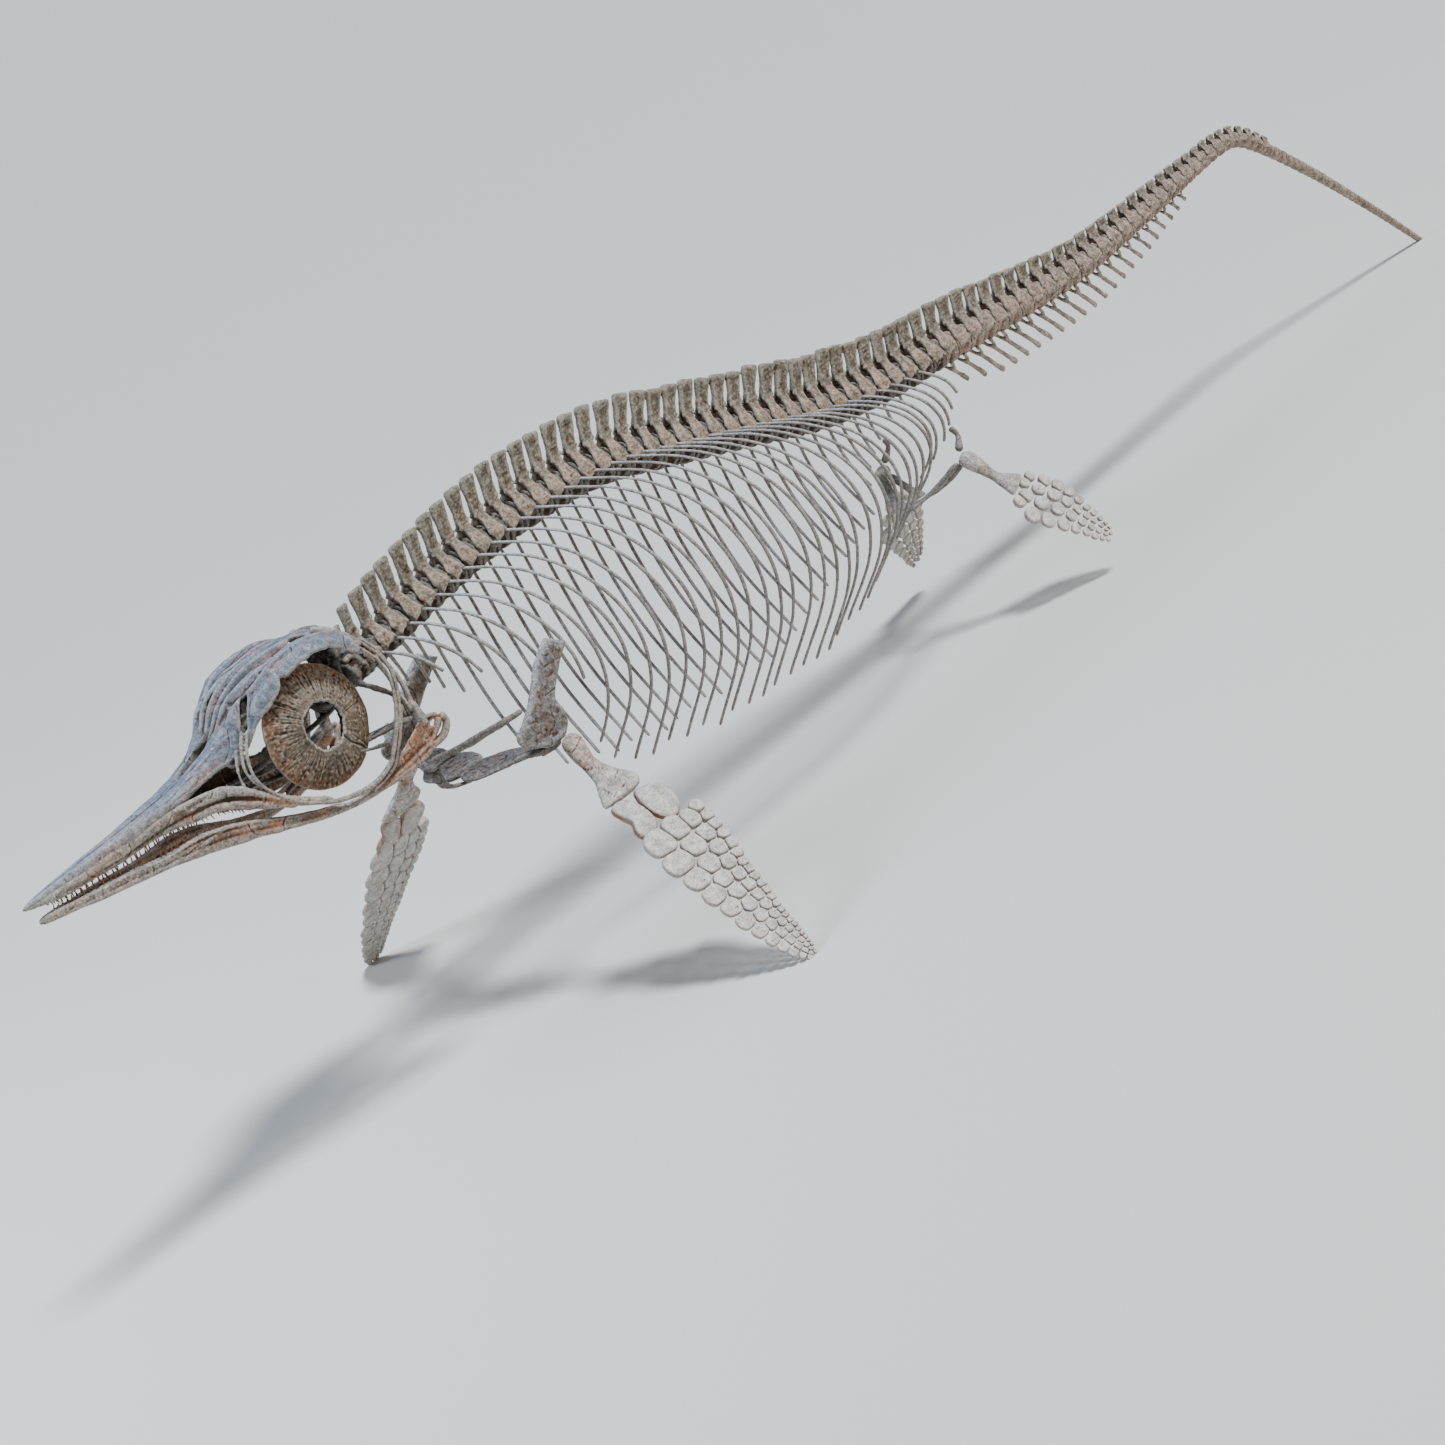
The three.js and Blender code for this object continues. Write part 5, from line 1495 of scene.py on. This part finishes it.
# The shoulder and the hip
SCAPULA_FRONT = (
    (-1044, 198, 638), (-1096, 203, 608), (-1142, 208, 566), (-1182, 211, 536), (-1218, 213, 514),
    (-1208, 217, 488),
    (-1170, 221, 468),
)
SCAPULA_BACK = (
    (-1002, 198, 606), (-1050, 205, 573), (-1094, 213, 533), (-1090, 218, 505), (-1098, 221, 478),
    (-1130, 222, 464),
)
CORACOID_FRONT = (
    (-1226, 2, 450), (-1245, 40, 450), (-1239, 92, 452), (-1206, 132, 455), (-1186, 168, 458),
    (-1176, 213, 460),
)
CORACOID_BACK = (
    (-1156, 2, 446), (-1134, 28, 446), (-1121, 72, 448), (-1128, 122, 452), (-1113, 168, 456),
    (-1123, 213, 458),
)


def girdle_relief(points, normal):
    """Broad dents and winding cracks, in mm."""
    return 1.3 * bumps(points, 22, 71) + 0.8 * bumps(points, 8, 72) - 1.0 * cracks(points, 30, 0.035, 73)


def flat_bone(front, back, half_thick, normal, side, flare=()):
    """A blade between two edges with thickened rims, fused and roughened."""
    rings = between_edges(front, back, half_thick, normal)
    shells = [closed_tubes(mirrored(rings, side))]
    shells += [bar(course, across, upward, side, steps=30) for course, across, upward in flare]
    return roughened(fused(shells, 2.6), girdle_relief, smoothing=3)


class OBJECT_OT_girdles(bpy.types.Operator):
    """Builds the bones of the shoulder and the hip"""

    bl_idname = "skeleton.girdles"
    bl_label = "Girdles"

    def execute(self, context):
        # The girdle colour is dark as painted shade of the underside, where these bones lie in the trunk's
        # shadow.
        dark = bone_material(
            "girdle painted shade", colours().girdle, darker(colours().girdle, 0.55, 0.15), patch_size=0.06,
            painted_top_light=(0.33, 0.36, 0.42), painted_top_light_strength=0.4)
        blade = bone_material(
            "shoulder blade bone", darker(colours().girdle, 1.6, -0.1), darker(colours().girdle, 0.7, 0.15),
            patch_size=0.08, painted_top_light=(0.38, 0.45, 0.56), painted_top_light_strength=1.0)
        for side, label in SIDES:
            ridge = [(((-1172, 219, 474), (-1140, 222, 470), (-1112, 221, 474)), (7, 8, 7), (8, 9, 8))]
            scapula = flat_bone(SCAPULA_FRONT, SCAPULA_BACK, (8.5, 8, 6, 6), (0, 1, 0.12), side, ridge)
            add_piece(f"scapula_{label}_bone", [scapula], blade, [f"scapula_{label}"])
            rim = [(((-1178, 208, 460), (-1150, 212, 459), (-1124, 208, 458)), (5, 5, 5), (8, 9, 8))]
            coracoid = flat_bone(CORACOID_FRONT, CORACOID_BACK, (8, 6, 6, 8), (0, 0, 1), side, rim)
            add_piece(f"coracoid_{label}_bone", [coracoid], dark, [f"coracoid_{label}"])
            clavicle = bar(
                ((-1284, 14, 514), (-1262, 60, 520), (-1238, 120, 532), (-1208, 180, 546), (-1172, 211, 552)),
                (5, 7, 6), (8, 8, 6), side, sides=20, steps=90)
            clavicle = roughened(clavicle, girdle_relief, smoothing=0)
            add_piece(f"clavicle_{label}_bone", [clavicle], dark, [f"clavicle_{label}"])
            hip = (
                ("ilium", ((254, 101, 426), (262, 106, 404), (239, 115, 376)), (7, 5.5, 9), (7, 5.5, 9)),
                ("pubis", ((216, 117, 358), (170, 60, 320), (130, 12, 302)), (9, 9, 21), (7, 5, 5)),
                ("ischium", ((234, 112, 349), (222, 60, 316), (197, 9, 300)), (9, 8, 19), (7, 5, 5)),
            )
            for bone, course, across, upward in hip:
                shell = bar(course, across, upward, side, sides=20, steps=60, reach=0.12)
                shell = roughened(shell, lambda p, n: 0.7 * girdle_relief(p, n), smoothing=0)
                add_piece(f"{bone}_{label}_bone", [shell], dark, [f"{bone}_{label}"])
        crossbar = ((-1258, -74, 513.4), (-1270, 0, 497), (-1258, 74, 513.4))
        cross = bar(crossbar, (8, 11, 8), (4, 5, 4), steps=60)
        stem = ((-1270, 0, 497), (-1260, 0, 451), (-1200, 0, 426))
        stem = bar(stem, (15, 21, 6), (5, 5, 4), steps=60, up=(1, 0, 1))
        shell = roughened(fused([cross, stem], 2.4), girdle_relief, smoothing=3)
        add_piece("interclavicle_bone", [shell], dark, ["interclavicle"])
        return {"FINISHED"}


# The limbs: u runs from the joint to the tip, v backwards and w out of the flat face.
FORE_LIMB = ((-1136, 250, 451), (-1168, 674, 0))
HIND_LIMB = ((225, 130, 354), (370, 300, 65))
HUMERUS = (  # u, v of the middle, half width, half thickness
    (-21, 6, 9, 9), (-12, 5, 18, 13.5), (2, 4, 22, 16), (26, -2, 20, 14.5),
    (56, -6, 17, 11.5), (88, -3, 27, 11.5),
    (110, -1, 42, 12), (124, -1, 50, 12), (138, -8, 51, 11.5), (149, -17, 42, 9),
)
FEMUR = (
    (-14, 8, 11, 8), (-6, 9, 18, 12), (8, 10, 21, 14), (40, 9, 17, 11), (74, 5, 12, 9), (100, 8, 22, 9.5),
    (118, 11, 30, 10), (129, 12, 28, 8.5),
)
RADIUS_OUTLINE = (
    (151, -48), (152, -22), (172, -6), (212, -2), (236, -14), (240, -36), (236, -56), (218, -56), (200, -46),
    (180, -53), (162, -56),
)
ULNA_OUTLINE = (
    (151, 10), (152, 28), (158, 52), (180, 69), (208, 67), (231, 54), (240, 34), (233, 14),
    (208, 2), (176, 2),
)
# Half the thickness of the two forearm bones.
FOREARM_THICK = 9.5
# Shares of a paddle's width that its fingers take, and how far along each one's first bone is shifted.
FORE_FINGERS, FORE_SHIFTS = (1.4, 1.25, 1.0, 0.65), (-0.06, -0.1, 0.12, -0.15)
HIND_FINGERS, HIND_SHIFTS = (1.1, 1.1, 1.0, 0.9), (0.0, 0.3, 0.0, 0.3)
FORE_EDGES = (  # u, v of the front edge, v of the back edge, half thickness
    (242, -62, 92, 8.5), (320, -64, 86, 8), (392, -60, 62, 7), (455, -58, 49, 6), (510, -54, 34, 5),
    (559, -44, 25, 4.5), (598, -30, 17, 4), (626, -8, 10, 3.5),
)
HIND_EDGES = (
    (130.5, -26, 50, 8), (160, -62, 74, 8), (205, -56, 83, 7), (245, -42, 78, 6), (292, -28, 56, 5),
    (331, -20, 44, 4), (360, -8, 26, 3.5),
)


def on_limb(points, limb, side):
    """From (u, v, w) on a limb to the skeleton's frame, mirrored on the left."""
    joint, tip = np.array(limb, float)
    u = unit(tip - joint)
    v = unit(np.array([1.0, 0, 0]) - u * u[0])
    w = np.cross(v, u)
    placed = joint + points[..., :1] * u + points[..., 1:2] * v + points[..., 2:] * w
    return placed * np.array([1, side, 1.0])


def shaft_shell(stations, limb, side, sides=56, steps=70):
    """A long bone: boxy ovals whose middle, width and thickness follow smooth curves, domed at its ends."""
    table = np.array(stations, float)
    along = np.linspace(0, 1, steps)
    station = smooth_curve(table, along)
    angle = 2 * np.pi * (np.arange(sides) + 0.5) / sides
    cosine = np.sign(np.cos(angle)) * np.abs(np.cos(angle)) ** 0.85
    sine = np.sign(np.sin(angle)) * np.abs(np.sin(angle)) ** 0.85
    u = station[:, :1] + 0 * angle
    dome = end_rounding(along, 0.05)[:, None]
    v = station[:, 1:2] + station[:, 2:3] * dome * cosine
    w = station[:, 3:4] * dome * sine
    return closed_tubes(on_limb(np.stack([u, v, w], axis=-1), limb, side))


def disc_rings(centre, outline, half_thick, dent, steps=13, inner=()):
    """Thick flat discs: outlines (disc, point, 2) about their centres, scaled by a power of sine from
    face to face, with a dent in the middle of each face. `inner` holds the angles of more rings there."""
    inner = np.array(inner)
    phi = np.concatenate([inner, np.linspace(0.16, np.pi - 0.16, steps), np.pi - inner[::-1]])
    scale = np.sin(phi) ** 0.42
    level = np.sign(np.cos(phi)) * np.abs(np.cos(phi)) ** 0.5
    level = level * (1 - dent * np.exp(-((scale / 0.72) ** 2) * 2))
    flat = centre[:, None, None] + scale[None, :, None, None] * outline[:, None]
    height = half_thick[:, None, None] * level[None, :, None] * np.ones(outline.shape[1])
    return np.concatenate([flat, height[..., None]], axis=-1)


def paddle_places(edges, shares, aspect, shift, rng, jitter, smallest):
    """Middles of the paddle's bones in rows along its fingers. A finger keeps its share of the way
    from the front edge to the back edge, and each step along it is `aspect` times the finger's width. It ends
    where it gets narrower than the smallest bone."""
    table = np.array(edges, float)
    u = np.linspace(table[0, 0], table[-1, 0], 400)
    front, back = np.interp(u, table[:, 0], table[:, 1]), np.interp(u, table[:, 0], table[:, 2])
    bounds_share = np.concatenate([[0], np.cumsum(shares)]) / np.sum(shares)
    places = []
    for k, share in enumerate(shares):
        middle = 0.5 * (bounds_share[k] + bounds_share[k + 1])
        width = (back - front) * share / np.sum(shares)
        steps = np.concatenate([[0], np.cumsum(np.diff(u) / np.maximum(aspect * width[1:], 9.0))])
        number = np.arange(0.5 + shift[k], steps[-1] - 0.2, 1.0)
        at = np.interp(number, steps, u)
        v = np.interp(at, u, front + middle * (back - front))
        size = np.interp(at, u, width)
        places.append(np.stack([at, v, size, np.interp(at, table[:, 0], table[:, 3])], axis=1))
    places = np.vstack(places)
    places = places[places[:, 2] > smallest]
    places[:, :2] += rng.uniform(-1, 1, (len(places), 2)) * jitter * places[:, 2:3]
    return places


def cell_outlines(places, reach, gap, points=32):
    """Rounded polygons: in each direction a bone grows half-way to each neighbour less half the gap, or
    to its own reach. A soft minimum of these, the power mean of a high negative power, rounds the corners."""
    angle = 2 * np.pi * np.arange(points) / points
    way = np.stack([np.cos(angle), np.sin(angle)], axis=1)
    between = places[None, :, :2] - places[:, None, :2]
    distance = np.linalg.norm(between, axis=-1) + np.eye(len(places)) * 1e6
    weight = 2 * places[:, None, 2] / (places[:, None, 2] + places[None, :, 2])
    facing = np.einsum("ijk,mk->ijm", between / distance[..., None], way)
    limit = (distance * 0.5 * weight - gap / 2)[..., None] / np.maximum(facing, 0.02)
    own = (reach * places[:, 2])[:, None, None] * np.ones((1, 1, points))
    limit = np.maximum(np.concatenate([limit, own], axis=1), 0.6)
    size = np.sum(limit**-9.0, axis=1) ** (-1 / 9.0)
    return size[..., None] * way


def ossicle_relief(points, normal):
    """Fine dents of the small paddle bones, in mm."""
    return 0.45 * bumps(points, 7, 81) + 0.3 * bumps(points, 3, 82)


def paddle_shell(places, reach, gap, dent, limb, side):
    """All small bones of a paddle as discs in one shell, kept above the floor."""
    outline = cell_outlines(places, reach, gap)
    rings = disc_rings(places[:, :2], outline, places[:, 3], dent)
    shell = closed_tubes(on_limb(rings, limb, side))
    vertices, faces = roughened(shell, ossicle_relief, smoothing=0)
    vertices[:, 2] = np.maximum(vertices[:, 2], 0)
    return vertices, faces


def from_joint(points, joint):
    """Points of either side, brought to the right side and measured from a limb's joint."""
    return np.stack([points[:, 0], np.abs(points[:, 1]), points[:, 2]], axis=1) - joint


def rim_warmth(limb, places):
    """Rust on the sides of a paddle's bones: the share of the half thickness away from both faces,
    where the half thickness falls along the limb."""
    joint, tip = np.array(limb, float)
    u = unit(tip - joint)
    v = unit(np.array([1.0, 0, 0]) - u * u[0])
    w = np.cross(v, u)
    along, thinning = np.sort(places[:, 0]), np.sort(places[:, 3])[::-1]

    def warmth(points):
        away = from_joint(points, joint)
        half = np.interp(away @ u, along, thinning)
        return np.interp(np.abs(away @ w) / half, [0.35, 0.8], [1.1, 0.0])

    return warmth


def shaft_warmth(limb):
    """Rust on an arm bone's head and shaft, fading towards its broad end."""
    joint, tip = np.array(limb, float)
    u = unit(tip - joint)

    def warmth(points):
        return np.interp(from_joint(points, joint) @ u, [0, 20, 50, 95], [0.9, 0.55, 0.7, 0.0])

    return warmth


def forearm_shell(outline, half_thick, limb, side):
    """A single broad disc from its own outline."""
    edge = closed_curve(outline, 72)
    centre = edge.mean(axis=0)
    rings = disc_rings(centre[None], (edge - centre)[None], np.array([half_thick]), 0.12, steps=21,
                       inner=(0.002, 0.02, 0.07))
    return roughened(closed_tubes(on_limb(rings, limb, side)), limb_relief, smoothing=0)


def limb_relief(points, normal):
    """Soft dents of two sizes, in mm."""
    return 0.9 * bumps(points, 20, 83) + 0.6 * bumps(points, 7, 84)


def humerus_relief(points, normal):
    """The crack across the upper arm's middle, with the limb's own relief, in mm."""
    return limb_relief(points, normal) - 1.2 * cracks(points, (40, 22, 22), 0.05, 86)


class OBJECT_OT_limbs(bpy.types.Operator):
    """Builds the arm and thigh bones and the bones of the four paddles"""

    bl_idname = "skeleton.limbs"
    bl_label = "Limbs"

    def execute(self, context):
        pale = bone_material(
            "paddle bone", colours().limb, darker(colours().limb, 0.8, 0.05), patch_size=0.05,
            patch_share=0.6,
            painted_top_light=(0.66, 0.68, 0.72), painted_top_light_strength=0.35, grain=0.003, crease_shade_strength=1.0)
        shaft = bone_material(
            "arm bone", darker(colours().limb, 0.78), darker(colours().limb, 0.4, 0.25), patch_size=0.045,
            patch_share=0.85, painted_top_light=(0.5, 0.54, 0.6), painted_top_light_strength=0.4)
        for side, label in SIDES:
            rng = np.random.default_rng(5)
            shell = roughened(shaft_shell(HUMERUS, FORE_LIMB, side), humerus_relief, smoothing=0)
            add_piece(f"humerus_{label}_bone", [shell], shaft, [f"humerus_{label}"],
                      warm=shaft_warmth(FORE_LIMB))
            for bone, outline in (("radius", RADIUS_OUTLINE), ("ulna", ULNA_OUTLINE)):
                shell = forearm_shell(outline, FOREARM_THICK, FORE_LIMB, side)
                add_piece(f"{bone}_{label}_bone", [shell], pale, [f"{bone}_{label}"],
                          hollow=False,
                          warm=rim_warmth(FORE_LIMB, np.array([[0, 0, 0, FOREARM_THICK]])))
            places = paddle_places(FORE_EDGES, FORE_FINGERS, 1.08, FORE_SHIFTS, rng, 0.07, 6.5)
            shell = paddle_shell(places, 0.72, sizes().bone_gap / METRES_PER_MM, 0.14, FORE_LIMB, side)
            add_piece(f"fore_paddle_{label}_bones", [shell], pale, [f"fore_paddle_{label}"],
                      warm=rim_warmth(FORE_LIMB, places))
            shell = roughened(shaft_shell(FEMUR, HIND_LIMB, side), limb_relief, smoothing=0)
            add_piece(f"femur_{label}_bone", [shell], shaft, [f"femur_{label}"])
            places = paddle_places(HIND_EDGES, HIND_FINGERS, 1.05, HIND_SHIFTS, rng, 0.08, 6.0)
            shell = paddle_shell(places, 0.54, 3.8, 0.1, HIND_LIMB, side)
            add_piece(f"hind_paddle_{label}_bones", [shell], pale, [f"hind_paddle_{label}"],
                      warm=rim_warmth(HIND_LIMB, places))
        return {"FINISHED"}


# The stage: the camera's place, its turn round the skeleton, its height and its roll.
CAMERA_PLACE = (-4.763, -5.180, 2.304)
CAMERA_AZIMUTH, CAMERA_ELEVATION, CAMERA_ROLL = (math.radians(a) for a in (-38.9, 17.61, -25.68))
FLOOR_HALF = 60.0
FLOOR_ROUGHNESS = 0.85
WORLD_COLOUR, WORLD_STRENGTH = (0.86, 0.9, 0.96, 1), 0.26
SUN_FROM, SUN_POWER, SUN_ANGLE = (0.22, -0.35, 0.9), 3.1, math.radians(12)
SENSOR_WIDTH, VIEW_REACH = 36, 200


def camera_turn():
    """The camera's axes: back from azimuth and elevation, right and up rolled about it."""
    a, e, roll = CAMERA_AZIMUTH, CAMERA_ELEVATION, CAMERA_ROLL
    back = np.array([math.sin(a) * math.cos(e), -math.cos(a) * math.cos(e), math.sin(e)])
    level = np.array([math.cos(a), math.sin(a), 0])
    upright = np.cross(back, level)
    right = math.cos(roll) * level + math.sin(roll) * upright
    return Matrix(np.stack([right, np.cross(back, right), back], axis=1).tolist())


def add_area_light(name, place, aim, size, power, colour):
    """A round area light that looks at a point."""
    light = bpy.data.lights.new(name, "AREA")
    light.shape = "DISK"
    light.size = size
    light.energy = power
    light.color = colour
    lamp = bpy.data.objects.new(name, light)
    bpy.context.scene.collection.objects.link(lamp)
    lamp.location = place
    lamp.rotation_euler = (Vector(place) - Vector(aim)).to_track_quat("Z", "Y").to_euler()


class OBJECT_OT_studio(bpy.types.Operator):
    """Builds the floor, the light and the camera"""

    bl_idname = "skeleton.studio"
    bl_label = "Floor, light and camera"

    def execute(self, context):
        floor_mesh = bpy.data.meshes.new("floor")
        corners = [(x, y, 0) for x, y in ((-1, -1), (1, -1), (1, 1), (-1, 1))]
        floor_mesh.from_pydata((np.array(corners) * FLOOR_HALF).tolist(), [], [(0, 1, 2, 3)])
        floor = bpy.data.objects.new("floor", floor_mesh)
        context.scene.collection.objects.link(floor)
        material = bpy.data.materials.new("floor paint")
        material.use_nodes = True
        shader = material.node_tree.nodes["Principled BSDF"]
        shader.inputs["Base Color"].default_value = (*colours().floor, 1)
        shader.inputs["Roughness"].default_value = FLOOR_ROUGHNESS
        floor_mesh.materials.append(material)
        world = bpy.data.worlds.new("studio")
        world.use_nodes = True
        world.node_tree.nodes["Background"].inputs["Color"].default_value = WORLD_COLOUR
        world.node_tree.nodes["Background"].inputs["Strength"].default_value = WORLD_STRENGTH
        context.scene.world = world
        sun = bpy.data.lights.new("sun", "SUN")
        sun.energy = SUN_POWER
        sun.angle = SUN_ANGLE
        sun.color = (0.95, 0.97, 1.0)
        lamp = bpy.data.objects.new("sun", sun)
        context.scene.collection.objects.link(lamp)
        lamp.rotation_euler = Vector(SUN_FROM).to_track_quat("Z", "Y").to_euler()
        add_area_light("cool key", (-4.2, 1.2, 3.4), (-1.2, 0, 0.6), 1.6, 90, (0.72, 0.85, 1.0))
        add_area_light("warm fill", (1.2, -5.0, 1.2), (-0.6, 0, 0.5), 2.4, 60, (1.0, 0.82, 0.64))
        data = bpy.data.cameras.new("camera")
        data.lens = sizes().camera_lens
        data.sensor_width = SENSOR_WIDTH
        data.clip_end = VIEW_REACH
        camera = bpy.data.objects.new("camera", data)
        context.scene.collection.objects.link(camera)
        camera.matrix_world = Matrix.Translation(CAMERA_PLACE) @ camera_turn().to_4x4()
        context.scene.camera = camera
        context.scene.view_settings.view_transform = "AgX"
        context.scene.view_settings.look = "AgX - Medium High Contrast"
        return {"FINISHED"}


OPERATORS = (
    OBJECT_OT_vertebrae, OBJECT_OT_ribs, OBJECT_OT_cranium, OBJECT_OT_lower_jaw, OBJECT_OT_teeth,
    OBJECT_OT_eye_rings, OBJECT_OT_girdles, OBJECT_OT_limbs, OBJECT_OT_studio,
)


class VIEW3D_PT_skeleton(bpy.types.Panel):
    """Lists the operators and the values they read"""

    bl_label = "Ichthyosaur Skeleton"
    bl_space_type = "VIEW_3D"
    bl_region_type = "UI"
    bl_category = "Skeleton"

    def draw(self, context):
        for group in (context.scene.skeleton_sizes, context.scene.skeleton_colours):
            box = self.layout.box()
            for name in group.__annotations__:
                box.prop(group, name)
        for operator in OPERATORS:
            self.layout.operator(operator.bl_idname)


def register():
    """Makes the values, the operators and the panel known to Blender."""
    for item in (SkeletonSizes, SkeletonColours, *OPERATORS, VIEW3D_PT_skeleton):
        bpy.utils.register_class(item)
    bpy.types.Scene.skeleton_sizes = bpy.props.PointerProperty(type=SkeletonSizes)
    bpy.types.Scene.skeleton_colours = bpy.props.PointerProperty(type=SkeletonColours)


def unregister():
    """Takes back what register made known, last things first."""
    del bpy.types.Scene.skeleton_colours
    del bpy.types.Scene.skeleton_sizes
    for item in (VIEW3D_PT_skeleton, *reversed(OPERATORS), SkeletonColours, SkeletonSizes):
        bpy.utils.unregister_class(item)


def main():
    """Builds every piece and the stage in order."""
    register()
    bpy.ops.skeleton.vertebrae()
    bpy.ops.skeleton.ribs()
    bpy.ops.skeleton.cranium()
    bpy.ops.skeleton.lower_jaw()
    bpy.ops.skeleton.teeth()
    bpy.ops.skeleton.eye_rings()
    bpy.ops.skeleton.girdles()
    bpy.ops.skeleton.limbs()
    bpy.ops.skeleton.studio()


if __name__ == "__main__":
    main()
